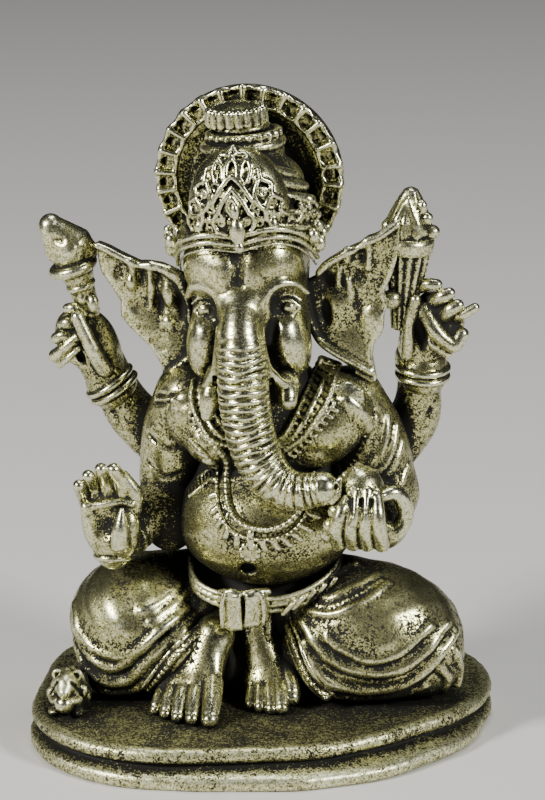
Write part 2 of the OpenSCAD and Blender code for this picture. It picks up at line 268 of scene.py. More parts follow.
def plate(outline: Sequence[tuple[float, float]], y: float, thick: float, soft: float = 0.3,
          bow: Callable[[Array, Array], Array] | None = None) -> Form:
    """A plate that faces the front, with soft edges.

    Args:
        outline: Its corners as (x, z).
        y: Its middle plane.
        thick: Its full thickness.
        soft: Rounding of the edges.
        bow: How far it stands forward or back at (x, z).

    Returns:
        The form.
    """
    corners = np.asarray(outline, float)

    def distance(px: Array, py: Array, pz: Array) -> Array:
        """Distance to the plate."""
        flat = polygon_distance(outline, px, pz) + soft
        deep = np.abs(py - y - (bow(px, pz) if bow else 0.0)) - thick / 2 + soft
        return (np.minimum(np.maximum(flat, deep), 0.0)
                + np.sqrt(np.maximum(flat, 0) ** 2 + np.maximum(deep, 0) ** 2) - soft)

    pad = thick / 2 + 1.5
    return Form(np.array([corners[:, 0].min(), y - pad, corners[:, 1].min()]),
                np.array([corners[:, 0].max(), y + pad, corners[:, 1].max()]), distance)


def turned(profile: Sequence[tuple[float, float]], base: Point, tip: Point, soft: float = 0.15,
           flutes: int = 0, depth: float = 0.0) -> Form:
    """A turned form on the line from base to tip.

    Args:
        profile: Its half outline as (radius, distance from the base), closed along the axis.
        base: Where the axis starts.
        tip: A point that the axis runs towards.
        soft: Rounding of the edges.
        flutes: Number of grooves along it.
        depth: Depth of the grooves.

    Returns:
        The form.
    """
    a = np.array(base, float)
    axis = np.array(tip, float) - a
    axis /= np.linalg.norm(axis)
    side = np.cross(axis, (0.0, 1.0, 0.0))
    side /= np.linalg.norm(side)
    back = np.cross(axis, side)
    reach = max(r for r, _ in profile)
    tall = max(h for _, h in profile)

    def distance(x: Array, y: Array, z: Array) -> Array:
        """Distance to the turned form."""
        x, y, z = x - a[0], y - a[1], z - a[2]
        h = x * axis[0] + y * axis[1] + z * axis[2]
        s = x * side[0] + y * side[1] + z * side[2]
        b = x * back[0] + y * back[1] + z * back[2]
        r = np.sqrt(s * s + b * b)
        if flutes:
            r = r + depth * (0.5 - 0.5 * np.cos(flutes * np.arctan2(b, s))) * np.clip(r / reach, 0, 1)
        return polygon_distance(profile, r, h) - soft

    ends = np.array([a, a + axis * tall])
    return Form(ends.min(0) - reach, ends.max(0) + reach, distance)


def hoop(centre: Point, axis: Point, radius: float, thick: float) -> Form:
    """A ring of round section.

    Args:
        centre: Its middle.
        axis: The direction that its hole runs in.
        radius: Radius to the middle of the section.
        thick: Radius of the section.

    Returns:
        The form.
    """
    c, n = np.array(centre, float), np.array(axis, float) / np.linalg.norm(axis)

    def distance(x: Array, y: Array, z: Array) -> Array:
        """Distance to the ring."""
        x, y, z = x - c[0], y - c[1], z - c[2]
        h = x * n[0] + y * n[1] + z * n[2]
        r = np.sqrt(np.maximum(x * x + y * y + z * z - h * h, 0))
        return np.sqrt((r - radius) ** 2 + h * h) - thick

    return Form(c - radius - thick, c + radius + thick, distance)


# ---- clay ------------------------------------------------------------------------------------


class Clay:
    """A block of clay: signed distances on a grid, which forms are added to and cut from."""

    def __init__(self, low: Point, high: Point, grain: float, pose: Pose | None = None) -> None:
        """Set out an empty block.

        Args:
            low: Its lowest corner.
            high: Its highest corner.
            grain: The grid's step.
            pose: Where the axes stand that its forms are given in, if not in the figure's own.
        """
        self.low = np.array(low, float)
        self.grain = grain
        self.pose = pose
        count = np.ceil((np.array(high) - self.low) / grain).astype(int) + 1
        self.values = np.full(count, FAR, np.float32)

    def window(self, low: Array, high: Array, pad: float) -> tuple[tuple[slice, ...], list[Array]] | None:
        """Find the part of the grid round a box.

        Args:
            low: The box's lowest corner.
            high: The box's highest corner.
            pad: How far beyond the box to go.

        Returns:
            The grid's slices and its coordinates there, or None if the box is outside.
        """
        first = np.maximum(np.floor((np.asarray(low) - pad - self.low) / self.grain).astype(int), 0)
        last = np.minimum(np.ceil((np.asarray(high) + pad - self.low) / self.grain).astype(int) + 1,
                          self.values.shape)
        if np.any(last <= first):
            return None
        cut = tuple(slice(a, b) for a, b in zip(first, last))
        axes = [(self.low[k] + self.grain * np.arange(first[k], last[k])).astype(np.float32)
                for k in range(3)]
        return cut, [axes[0][:, None, None], axes[1][None, :, None], axes[2][None, None, :]]

    def cast(self, forms: Form | Sequence[Form], pad: float) -> tuple[tuple[slice, ...], Array] | None:
        """Work out the joined distance of some forms.

        Args:
            forms: One form or several.
            pad: How far beyond them the distances are wanted.

        Returns:
            The grid's slices and the distances there, or None if all are outside.
        """
        forms = [forms] if isinstance(forms, Form) else list(forms)
        if self.pose is not None:
            forms = [form.posed(self.pose) for form in forms]
        low = np.min([f.low for f in forms], axis=0)
        high = np.max([f.high for f in forms], axis=0)
        whole = self.window(low, high, pad)
        if whole is None:
            return None
        first = [s.start for s in whole[0]]
        out = np.full([s.stop - s.start for s in whole[0]], FAR, np.float32)
        for form in forms:
            found = self.window(form.low, form.high, pad)
            if found is None:
                continue
            inner = tuple(slice(s.start - f, s.stop - f) for s, f in zip(found[0], first))
            np.minimum(out[inner], form.distance(*found[1]), out=out[inner])
        return whole[0], out

    def add(self, forms: Form | Sequence[Form], blend: float = 0.0) -> "Clay":
        """Press forms on to the clay.

        Args:
            forms: One form or several, which join each other without a blend.
            blend: How widely the joint with the clay is smoothed.

        Returns:
            The clay.
        """
        found = self.cast(forms, blend + 3 * self.grain)
        if found is not None:
            cut, new = found
            old = self.values[cut]
            if blend > 0:
                h = np.clip(0.5 + 0.5 * (old - new) / blend, 0, 1)
                self.values[cut] = old * (1 - h) + new * h - blend * h * (1 - h)
            else:
                self.values[cut] = np.minimum(old, new)
        return self

    def cut(self, forms: Form | Sequence[Form], blend: float = 0.0) -> "Clay":
        """Cut forms out of the clay.

        Args:
            forms: One form or several.
            blend: How widely the cut's edge is smoothed.

        Returns:
            The clay.
        """
        found = self.cast(forms, blend + 3 * self.grain)
        if found is not None:
            cut, new = found
            old, new = self.values[cut], -new
            if blend > 0:
                h = np.clip(0.5 - 0.5 * (old - new) / blend, 0, 1)
                self.values[cut] = old * (1 - h) + new * h + blend * h * (1 - h)
            else:
                self.values[cut] = np.maximum(old, new)
        return self

    def emboss(self, low: Point, high: Point, height: Callable[[Array, Array, Array], Array]) -> "Clay":
        """Raise or lower the surface inside a box.

        Args:
            low: The box's lowest corner.
            high: The box's highest corner.
            height: How far the surface rises at a place.

        Returns:
            The clay.
        """
        found = self.window(np.array(low), np.array(high), 0.0)
        if found is not None:
            self.values[found[0]] -= height(*found[1]).astype(np.float32)
        return self

    def front(self, x: float, z: float) -> float:
        """Find the surface that faces the front.

        Args:
            x: Where to look, across.
            z: Where to look, upwards.

        Returns:
            The y of the first clay met from the front, or the block's middle if there is none.
        """
        i = int(np.clip(round((x - self.low[0]) / self.grain), 0, self.values.shape[0] - 1))
        k = int(np.clip(round((z - self.low[2]) / self.grain), 0, self.values.shape[2] - 1))
        column = self.values[i, :, k]
        inside = np.nonzero(column < 0)[0]
        if not len(inside):
            return float(self.low[1] + self.grain * self.values.shape[1] / 2)
        j = inside[0]
        if j == 0:
            return float(self.low[1])
        share = column[j - 1] / (column[j - 1] - column[j])
        return float(self.low[1] + self.grain * (j - 1 + share))

    def laid(self, path: Sequence[tuple[float, float]], lift: float = 0.0, steps: int = 5) -> list[Point]:
        """Lay a flat path on the surface that faces the front.

        Args:
            path: Points as (x, z).
            lift: How far the path stands in front of the surface.
            steps: Pieces between two neighbouring points.

        Returns:
            Points along the path.
        """
        flat = smooth_path(path, steps)
        y = np.array([self.front(x, z) for x, z in flat])
        if len(y) > 4:
            y[1:-1] = (y[:-2] + 2 * y[1:-1] + y[2:]) / 4
        return [(float(x), float(v - lift), float(z)) for (x, z), v in zip(flat, y)]

    def skin(self) -> tuple[Array, Array]:
        """Wrap the clay in four-sided faces.

        Returns:
            The corners in millimetres, and four corner numbers for each face.
        """
        d = self.values
        d = np.pad(d, 1, constant_values=FAR)
        inside = d < 0
        count = sum(inside[i:inside.shape[0] - 1 + i, j:inside.shape[1] - 1 + j, k:inside.shape[2] - 1 + k]
                    .astype(np.int8) for i in (0, 1) for j in (0, 1) for k in (0, 1))
        cells = np.argwhere((count > 0) & (count < 8))
        number = np.full(count.shape, -1, np.int32)
        number[tuple(cells.T)] = np.arange(len(cells))
        corner = {(i, j, k): d[cells[:, 0] + i, cells[:, 1] + j, cells[:, 2] + k]
                  for i in (0, 1) for j in (0, 1) for k in (0, 1)}
        total, hits = np.zeros((len(cells), 3)), np.zeros(len(cells))
        for axis in range(3):
            for p in (0, 1):
                for q in (0, 1):
                    start = [p, q]
                    start.insert(axis, 0)
                    end = list(start)
                    end[axis] = 1
                    a, b = corner[tuple(start)], corner[tuple(end)]
                    crossed = (a < 0) != (b < 0)
                    place = np.tile(np.array(start, float), (len(cells), 1))
                    place[:, axis] = a / np.where(crossed, a - b, 1.0)
                    total[crossed] += place[crossed]
                    hits += crossed
        corners = (cells + total / hits[:, None] - 1) * self.grain + self.low
        faces = []
        for axis in range(3):
            u, v = [(1, 2), (2, 0), (0, 1)][axis]
            first = [slice(1, -1)] * 3
            first[axis] = slice(0, -1)
            second = list(first)
            second[axis] = slice(1, None)
            a, b = inside[tuple(first)], inside[tuple(second)]
            for rising in (True, False):
                at = np.argwhere((a & ~b) if rising else (~a & b))
                node = at + np.array([0 if k == axis else 1 for k in range(3)])
                ring = []
                for du, dv in ((-1, -1), (0, -1), (0, 0), (-1, 0)):
                    cell = node.copy()
                    cell[:, u] += du
                    cell[:, v] += dv
                    ring.append(number[tuple(cell.T)])
                quad = np.stack(ring, axis=1)
                faces.append(quad if rising else quad[:, ::-1])
        return corners, np.vstack(faces)


# ---- meshes ----------------------------------------------------------------------------------


def smoothed(corners: Array, edges: Array, rounds: int, amount: float = 0.5) -> Array:
    """Move corners towards their neighbours.

    Args:
        corners: Their places.
        edges: Pairs of corner numbers.
        rounds: How often to do it.
        amount: How far each time, from 0 to 1.

    Returns:
        The new places.
    """
    a, b = edges[:, 0], edges[:, 1]
    n = len(corners)
    degree = np.maximum(np.bincount(a, minlength=n) + np.bincount(b, minlength=n), 1)
    out = corners.copy()
    for _ in range(rounds):
        mean = np.empty_like(out)
        for k in range(3):
            mean[:, k] = (np.bincount(a, out[b, k], n) + np.bincount(b, out[a, k], n)) / degree
        out += amount * (mean - out)
    return out


class Solid:
    """The room that the whole figurine fills, which says how crowded a place on it is: the share that puts
    patina in hollows and paints shade where parts crowd each other.
    """

    GRAIN = 0.4
    LOW = np.array((-29.6, -25.2, -3.2))
    COUNT = (150, 128, 212)

    def __init__(self) -> None:
        """Set out an empty room."""
        self.filled = np.zeros(self.COUNT, np.float32)
        self.blurred: dict[float, Array] = {}

    def mark(self, low: Array, high: Array, inside: Callable[[Array, Array, Array], Array]) -> None:
        """Fill the places inside a solid.

        Args:
            low: The lowest corner of its box.
            high: The highest corner of its box.
            inside: Says for coordinates whether they are inside.
        """
        first = np.clip(np.floor((low - self.LOW) / self.GRAIN).astype(int), 0, self.COUNT)
        last = np.clip(np.ceil((high - self.LOW) / self.GRAIN).astype(int) + 1, 0, self.COUNT)
        axes = [self.LOW[k] + self.GRAIN * np.arange(first[k], last[k]) for k in range(3)]
        found = inside(axes[0][:, None, None], axes[1][None, :, None], axes[2][None, None, :])
        part = self.filled[first[0]:last[0], first[1]:last[1], first[2]:last[2]]
        np.maximum(part, found, out=part)

    def mark_clay(self, clay: Clay) -> None:
        """Fill the places inside a block of clay."""
        high = clay.low + clay.grain * (np.array(clay.values.shape) - 1)

        def inside(x: Array, y: Array, z: Array) -> Array:
            """Whether places are inside the clay."""
            at = [np.rint((v - clay.low[k]) / clay.grain).astype(int).clip(0, clay.values.shape[k] - 1)
                  for k, v in enumerate((x, y, z))]
            return (clay.values[at[0], at[1], at[2]] < 0).astype(np.float32)

        self.mark(clay.low, high, inside)

    def crowding(self, places: Array, reach: float) -> Array:
        """Measure how much of the room round places is filled.

        Args:
            places: The places, in millimetres.
            reach: Roughly how far round each to look.

        Returns:
            A share from 0 to 1 for each place, which is near 0.5 on a flat surface.
        """
        if reach not in self.blurred:
            half = max(1, round(reach / self.GRAIN * 0.75))
            out = self.filled
            for _ in range(3):
                for axis in range(3):
                    total = np.cumsum(np.pad(out, [(half + 1, half) if k == axis else (0, 0)
                                                   for k in range(3)]), axis=axis)
                    upper = np.take(total, np.arange(2 * half + 1, total.shape[axis]), axis=axis)
                    lower = np.take(total, np.arange(0, total.shape[axis] - 2 * half - 1), axis=axis)
                    out = ((upper - lower) / (2 * half + 1)).astype(np.float32)
            self.blurred[reach] = out
        grid = self.blurred[reach]
        spot = (places - self.LOW) / self.GRAIN
        base = np.clip(np.floor(spot).astype(int), 0, np.array(self.COUNT) - 2)
        share = np.clip(spot - base, 0, 1)
        out = np.zeros(len(places))
        for i in (0, 1):
            for j in (0, 1):
                for k in (0, 1):
                    weight = (np.abs(1 - i - share[:, 0]) * np.abs(1 - j - share[:, 1])
                              * np.abs(1 - k - share[:, 2]))
                    out += weight * grid[base[:, 0] + i, base[:, 1] + j, base[:, 2] + k]
        return out


class Finish(Enum):
    """Which part of the antique-brass finish a piece shows."""

    POLISHED = "polished"
    WORN = "worn"
    SHADED = "shaded"
    DECK = "deck"


@dataclass
class Made:
    """A finished piece and how it is dressed."""

    piece: bpy.types.Object
    finish: Finish
    # painted light on the whole piece; where negative, painted shade
    painted_light_bias: float


class Workshop:
    """Makes pieces, keeps the list of them, and gives them their patina and their painted shade at the end."""

    # millimetres: the width over which an edge stands proud, and how far it stands to count as fully proud;
    # then how far off the surface crowding is measured, and how widely, close by and further out;
    # crowding gives the patina in hollows and the painted shade between parts
    EDGE = 0.42
    PROUD = 0.05
    NEAR = (0.35, 0.8)
    WIDE = (0.9, 2.4)

    def __init__(self) -> None:
        """Open an empty workshop."""
        self.made: list[Made] = []
        self.solid = Solid()
        self.shift = np.zeros(3)

    def stand(self, node: str) -> None:
        """Stand the pieces that follow where the CAD model has a node.

        Args:
            node: The node that they are placed by, one of those in DRAWN.
        """
        low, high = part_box(node)
        self.shift = np.array((low + high) / (2 * MM)) - np.array(DRAWN[node])
        LOG.info("placed by %s, %s mm from where it is drawn", node, np.round(self.shift, 3))

    def enter(self, piece: bpy.types.Object, node: str, finish: Finish, painted_light_bias: float = 0.0) -> bpy.types.Object:
        """Take a piece into the figurine.

        Args:
            piece: The piece, with its place in its mesh.
            node: The CAD node that it stands for.
            finish: Which finish it has.
            painted_light_bias: Painted light that brightens the whole piece; where negative, painted shade
                that darkens it.

        Returns:
            The piece.
        """
        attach(piece, "root")
        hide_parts(node)
        self.made.append(Made(piece, finish, painted_light_bias))
        LOG.info("%-24s %7d faces", node, len(piece.data.polygons))
        return piece

    def from_clay(self, name: str, clay: Clay, finish: Finish = Finish.WORN, painted_light_bias: float = 0.0,
                  soften: int = 1) -> bpy.types.Object:
        """Make a piece from a block of clay.

        Args:
            name: The piece's name.
            clay: The clay.
            finish: Which finish it has.
            painted_light_bias: Painted light that brightens the whole piece; where negative, painted shade
                that darkens it.
            soften: Rounds of smoothing.

        Returns:
            The piece.
        """
        corners, quads = clay.skin()
        corners = corners + self.shift
        mesh = bpy.data.meshes.new(name)
        mesh.vertices.add(len(corners))
        mesh.loops.add(4 * len(quads))
        mesh.loops.foreach_set("vertex_index", quads.astype(np.int32).ravel())
        mesh.polygons.add(len(quads))
        mesh.polygons.foreach_set("loop_start", (4 * np.arange(len(quads))).astype(np.int32))
        mesh.vertices.foreach_set("co", (corners * MM).ravel())
        mesh.update(calc_edges=True)
        if soften:
            edges = np.empty(2 * len(mesh.edges), np.int32)
            mesh.edges.foreach_get("vertices", edges)
            corners = smoothed(corners, edges.reshape(-1, 2), soften, 0.45)
            mesh.vertices.foreach_set("co", (corners * MM).ravel())
            mesh.update()
        mesh.shade_smooth()
        piece = bpy.data.objects.new(name, mesh)
        bpy.context.collection.objects.link(piece)
        self.solid.mark_clay(clay)
        return self.enter(piece, name, finish, painted_light_bias)

    def from_bmesh(self, name: str, bm: bmesh.types.BMesh, finish: Finish,
                   shadow: Sequence[Form] = ()) -> bpy.types.Object:
        """Make a piece from a bmesh in millimetres, and free the bmesh.

        Args:
            name: The piece's name.
            bm: The shape.
            finish: Which finish it has.
            shadow: Forms that fill about the same room, for the patina and the painted shade round them.

        Returns:
            The piece.
        """
        bmesh.ops.translate(bm, vec=self.shift, verts=bm.verts)
        bmesh.ops.scale(bm, vec=(MM, MM, MM), verts=bm.verts)
        bmesh.ops.recalc_face_normals(bm, faces=bm.faces)
        mesh = bpy.data.meshes.new(name)
        bm.to_mesh(mesh)
        bm.free()
        mesh.shade_smooth()
        piece = bpy.data.objects.new(name, mesh)
        bpy.context.collection.objects.link(piece)
        for form in shadow:
            self.solid.mark(form.low, form.high,
                            lambda x, y, z, form=form: (form.distance(x, y, z) < 0).astype(np.float32))
        return self.enter(piece, name, finish)

    def patinate_and_paint_shade(self) -> None:
        """Store on every piece how crowded and how proud each corner is, and dress the piece. Crowding puts
        patina in the hollows and also paints shade where parts crowd each other.
        """
        materials = {finish: AntiqueBrass.of(finish).material() for finish in Finish}
        for made in self.made:
            mesh = made.piece.data
            n = len(mesh.vertices)
            corners, normals = np.empty(3 * n, np.float32), np.empty(3 * n, np.float32)
            mesh.vertices.foreach_get("co", corners)
            mesh.vertex_normals.foreach_get("vector", normals)
            corners, normals = corners.reshape(-1, 3) / MM, normals.reshape(-1, 3)
            edges = np.empty(2 * len(mesh.edges), np.int32)
            mesh.edges.foreach_get("vertices", edges)
            edges = edges.reshape(-1, 2)
            length = np.linalg.norm(corners[edges[:, 0]] - corners[edges[:, 1]], axis=1).mean()
            rounds = int(np.clip((self.EDGE / length) ** 2, 2, 14))
            proud = ((corners - smoothed(corners, edges, rounds)) * normals).sum(1)
            proud = smoothed(np.repeat(proud[:, None], 3, axis=1), edges, 1)[:, 0]
            near = self.solid.crowding(corners + self.NEAR[0] * normals, self.NEAR[1])
            wide = self.solid.crowding(corners + self.WIDE[0] * normals, self.WIDE[1])
            # crowding close by and further out: patina in hollows, and painted shade between and under parts
            hollow_and_painted_shade = np.clip((near - 0.34) * 2.2, -0.5, 1) * 0.6 + np.clip((wide - 0.30) * 2.6, -0.5,
                                                                            1) * 0.7
            # the piece's bias adds painted light to it; where negative, painted shade
            for key, values in (("proud", proud / self.PROUD), ("hollow_and_painted_shade", hollow_and_painted_shade - made.painted_light_bias)):
                layer = mesh.attributes.new(key, "FLOAT", "POINT")
                layer.data.foreach_set("value", np.clip(values, -2, 2).astype(np.float32))
            mesh.materials.clear()
            mesh.materials.append(materials[made.finish])


# ---- finishes --------------------------------------------------------------------------------


class Value:
    """A number that varies over a surface: arithmetic on it adds Math nodes."""

    def __init__(self, tree: bpy.types.NodeTree, socket: bpy.types.NodeSocket) -> None:
        """Wrap a socket.

        Args:
            tree: The material's nodes.
            socket: The socket that gives the number.
        """
        self.tree, self.socket = tree, socket

    def math(self, operation: str, *values: "Value | float") -> "Value":
        """Add a Math node.

        Args:
            operation: Its operation.
            values: Its other inputs.

        Returns:
            Its result.
        """
        node = self.tree.nodes.new("ShaderNodeMath")
        node.operation = operation
        for socket, value in zip(node.inputs, (self, *values)):
            if isinstance(value, Value):
                self.tree.links.new(value.socket, socket)
            else:
                socket.default_value = value
        return Value(self.tree, node.outputs[0])

    def __add__(self, other: "Value | float") -> "Value":
        """Sum."""
        return self.math("ADD", other)

    __radd__ = __add__

    def __mul__(self, other: "Value | float") -> "Value":
        """Product."""
        return self.math("MULTIPLY", other)

    __rmul__ = __mul__

    def __sub__(self, other: "Value | float") -> "Value":
        """Difference."""
        return self.math("SUBTRACT", other)

    def __rsub__(self, other: float) -> "Value":
        """Difference from a number."""
        return (self * -1.0) + other

    def clamped(self) -> "Value":
        """The value kept between 0 and 1."""
        return self.math("MAXIMUM", 0.0).math("MINIMUM", 1.0)

    def step(self, low: float, high: float) -> "Value":
        """A straight ramp from 0 at low to 1 at high."""
        return ((self - low) * (1.0 / (high - low))).clamped()


class Nodes:
    """A material's nodes, with one way to add any of them."""

    def __init__(self, name: str) -> None:
        """Start a material.

        Args:
            name: Its name.
        """
        self.material = bpy.data.materials.new(name)
        self.material.use_nodes = True
        self.tree = self.material.node_tree
        self.tree.nodes.clear()

    def node(self, kind: str, settings: dict[str, object] | None = None, **inputs: object) -> bpy.types.Node:
        """Add a node.

        Args:
            kind: The node's type without its ShaderNode prefix.
            settings: Its own settings, which are set first.
            inputs: Values, sockets or Values for its inputs, with _ for a space in a name.

        Returns:
            The node.
        """
        node = self.tree.nodes.new(f"ShaderNode{kind}")
        for key, value in (settings or {}).items():
            setattr(node, key, value)
        for key, value in inputs.items():
            name = key.replace("_", " ")
            socket = next(s for s in node.inputs if s.name == name and s.enabled)
            if isinstance(value, Value):
                self.tree.links.new(value.socket, socket)
            elif isinstance(value, bpy.types.NodeSocket):
                self.tree.links.new(value, socket)
            else:
                socket.default_value = value
        return node

    def value(self, node: bpy.types.Node, output: str) -> Value:
        """Wrap one of a node's outputs."""
        return Value(self.tree, node.outputs[output])

    def mix(self, share: Value, a: object, b: object) -> bpy.types.NodeSocket:
        """Mix two colours.

        Args:
            share: 0 for the first and 1 for the second.
            a: A colour or a socket.
            b: A colour or a socket.

        Returns:
            The mixed colour's socket.
        """
        node = self.tree.nodes.new("ShaderNodeMix")
        node.data_type = "RGBA"
        self.tree.links.new(share.socket, node.inputs[0])
        for socket, colour in ((node.inputs[6], a), (node.inputs[7], b)):
            if isinstance(colour, bpy.types.NodeSocket):
                self.tree.links.new(colour, socket)
            else:
                socket.default_value = (*colour, 1.0)
        return node.outputs[2]


@dataclass(frozen=True)
class AntiqueBrass:
    """Brass lacquer over a black-brown patina that stays in the hollows, rubbed bright where it is proud; the
    same dark also paints shade where parts crowd each other, and the pale brass paints light on pieces biased
    bright.
    """

    name: str
    brass: tuple[float, float, float] = (0.50, 0.478, 0.205)
    # pale rubbed brass, also painted light where the brass is open and the piece is biased bright
    rubbed_and_lit: tuple[float, float, float] = (0.92, 0.91, 0.62)
    tarnish: tuple[float, float, float] = (0.13, 0.122, 0.045)
    # black-brown patina, also painted shade where parts crowd each other
    patina_and_shade: tuple[float, float, float] = (0.007, 0.0065, 0.004)
    cover: float = 0.62
    shade: float = 1.6
    rub: float = 0.42
    soft: float = 0.20
    speckle: float = 1.0
    gloss: float = 0.28
    grain: float = 0.35

    @classmethod
    def of(cls, finish: Finish) -> "AntiqueBrass":
        """The brass for a finish."""
        return {
            Finish.POLISHED: cls("brass_polished", cover=0.56, speckle=1.15, gloss=0.25, grain=0.35),
            Finish.WORN: cls("brass_worn", cover=0.50, speckle=1.3),
            Finish.SHADED: cls("brass_shaded", cover=0.22, speckle=1.3, gloss=0.38),
            Finish.DECK: cls("brass_deck", cover=0.36, shade=0.7, rub=0.14, soft=0.22, speckle=1.5,
                             gloss=0.40, grain=0.7),
        }[finish]

    def noise(self, nodes: Nodes, place: bpy.types.NodeSocket, size: float, detail: float = 3.0,
              rough: float = 0.55) -> Value:
        """A noise whose blotches are about a size in millimetres across.

        Args:
            nodes: The material's nodes.
            place: The coordinates.
            size: Size of its blotches.
            detail: Its finer layers.
            rough: How strong they are.

        Returns:
            The noise, about 0.5 on average.
        """
        made = nodes.node("TexNoise", Vector=place, Scale=1.0 / (size * MM), Detail=detail,
                          Roughness=rough)
        return nodes.value(made, "Fac")

    def material(self) -> bpy.types.Material:
        """Build the material.

        Returns:
            The material, which reads Object coordinates and the attributes proud and shelter; the second gives
            patina, painted shade and painted light.
        """
        nodes = Nodes(self.name)
        place = nodes.node("TexCoord").outputs["Object"]
        proud = nodes.value(nodes.node("Attribute", {"attribute_name": "proud"}), "Fac")
        hollow_and_painted_shade = nodes.value(nodes.node("Attribute", {"attribute_name": "hollow_and_painted_shade"}), "Fac")
        blotch = self.noise(nodes, place, 3.2, 2.0)
        fleck = self.noise(nodes, place, 0.50, 4.0, 0.75)
        pin = self.noise(nodes, place, 0.20, 2.0)
        crease = proud.math("MINIMUM", 0.0)
        # worn is the patina's wear, with painted shade from the crowding and painted light from each piece's
        # bias
        worn = (self.cover - hollow_and_painted_shade * self.shade + proud * self.rub + crease * 0.40 + (blotch - 0.5) * 1.7
                + (fleck - 0.5) * (self.speckle * 2.6) + (pin - 0.5) * (self.speckle * 2.4))
        # bare brass shows where worn is high: real wear, and painted light
        bare_and_lit = worn.step(0.42 - self.soft * 0.6, 0.42 + self.soft * 0.6)
        rubbed_and_lit = (worn + proud * 0.20).step(0.70, 1.70)
        colour = nodes.mix(rubbed_and_lit, self.brass, self.rubbed_and_lit)
        colour = nodes.mix((pin * 0.6 + fleck * 0.4).step(0.38, 0.54) * 0.62 + 0.38, self.tarnish, colour)
        # the dark colour is the patina in hollows, and painted shade where parts crowd each other
        colour = nodes.mix(bare_and_lit, self.patina_and_shade, colour)
        roughness = (0.72 - bare_and_lit * (0.72 - self.gloss)) + (pin - 0.5) * 0.16 + (fleck - 0.5) * 0.10
        height = fleck * 0.6 + pin * 0.5 + bare_and_lit * 0.35
        bump = nodes.node("Bump", Strength=self.grain, Distance=0.06 * MM, Height=height)
        shader = nodes.node("BsdfPrincipled", Base_Color=colour, Metallic=bare_and_lit * 0.9 + 0.1,
                            Roughness=roughness.clamped(), Normal=bump.outputs[0], Specular_IOR_Level=0.3)
        output = nodes.node("OutputMaterial", Surface=shader.outputs[0])
        output.location = (400, 0)
        return nodes.material


# ---- shared shapes ---------------------------------------------------------------------------


def slab(top: float) -> Form:
    """Everything below a height.

    Args:
        top: The height.

    Returns:
        The form, for cutting a flat underside.
    """
    return Form(np.array([-40.0, -40.0, -5.0]), np.array([40.0, 40.0, top]), lambda x, y,
                z: z - top + 0 * (x + y))


def mirrored(path: Sequence[Sequence[float]]) -> list[tuple[float, ...]]:
    """The same path on the other side of x = 0."""
    return [(-p[0], *p[1:]) for p in path]


def beads(points: Sequence[Point], radius: float, pitch: float) -> list[Form]:
    """A string of beads along a curve.

    Args:
        points: What the curve runs through.
        radius: Radius of a bead.
        pitch: Distance from bead to bead.

    Returns:
        The beads.
    """
    path = smooth_path(points, 8)
    length = np.concatenate([[0], np.cumsum(np.linalg.norm(np.diff(path, axis=0), axis=1))])
    count = max(2, round(length[-1] / pitch) + 1)
    spots = [[np.interp(s, length, path[:, k]) for k in range(3)] for s in np.linspace(0, length[-1], count)]
    return [egg(tuple(spot), (radius, radius, radius)) for spot in spots]


def rungs(a: Sequence[Point], b: Sequence[Point], radius: float, count: int) -> list[Form]:
    """Short bars from one curve to another.

    Args:
        a: What the first curve runs through.
        b: What the second curve runs through.
        radius: Radius of a bar.
        count: Number of bars.

    Returns:
        The bars.
    """
    a, b = smooth_path(a, 8), smooth_path(b, 8)
    at = [(a[int(s * (len(a) - 1))], b[int(s * (len(b) - 1))]) for s in np.linspace(0.03, 0.97, count)]
    return [bar(tuple(p), tuple(q), radius) for p, q in at]


def digit(clay: Clay, path: Sequence[Point], radius: float, blend: float = 0.25, nail: bool = False) -> None:
    """Press a finger or a toe on to clay.

    Args:
        clay: The clay.
        path: From its root to its tip.
        radius: Its radius at the root.
        blend: How widely its joint is smoothed.
        nail: Whether to press in the edge of a nail.
    """
    radii = [radius * (1.08 - 0.2 * k / (len(path) - 1)) for k in range(len(path))]
    clay.add(rope(path, radii, 4), blend)
    if nail:
        tip, before = np.array(path[-1]), np.array(path[-2])
        ahead = (tip - before) / np.linalg.norm(tip - before)
        spot = tip + ahead * radius * 0.25 + np.array([0, -0.35, 0.75]) * radius
        clay.cut(hoop(tuple(spot), (0, -0.5, 1), radius * 0.42, 0.07))


# ---- plinth ----------------------------------------------------------------------------------


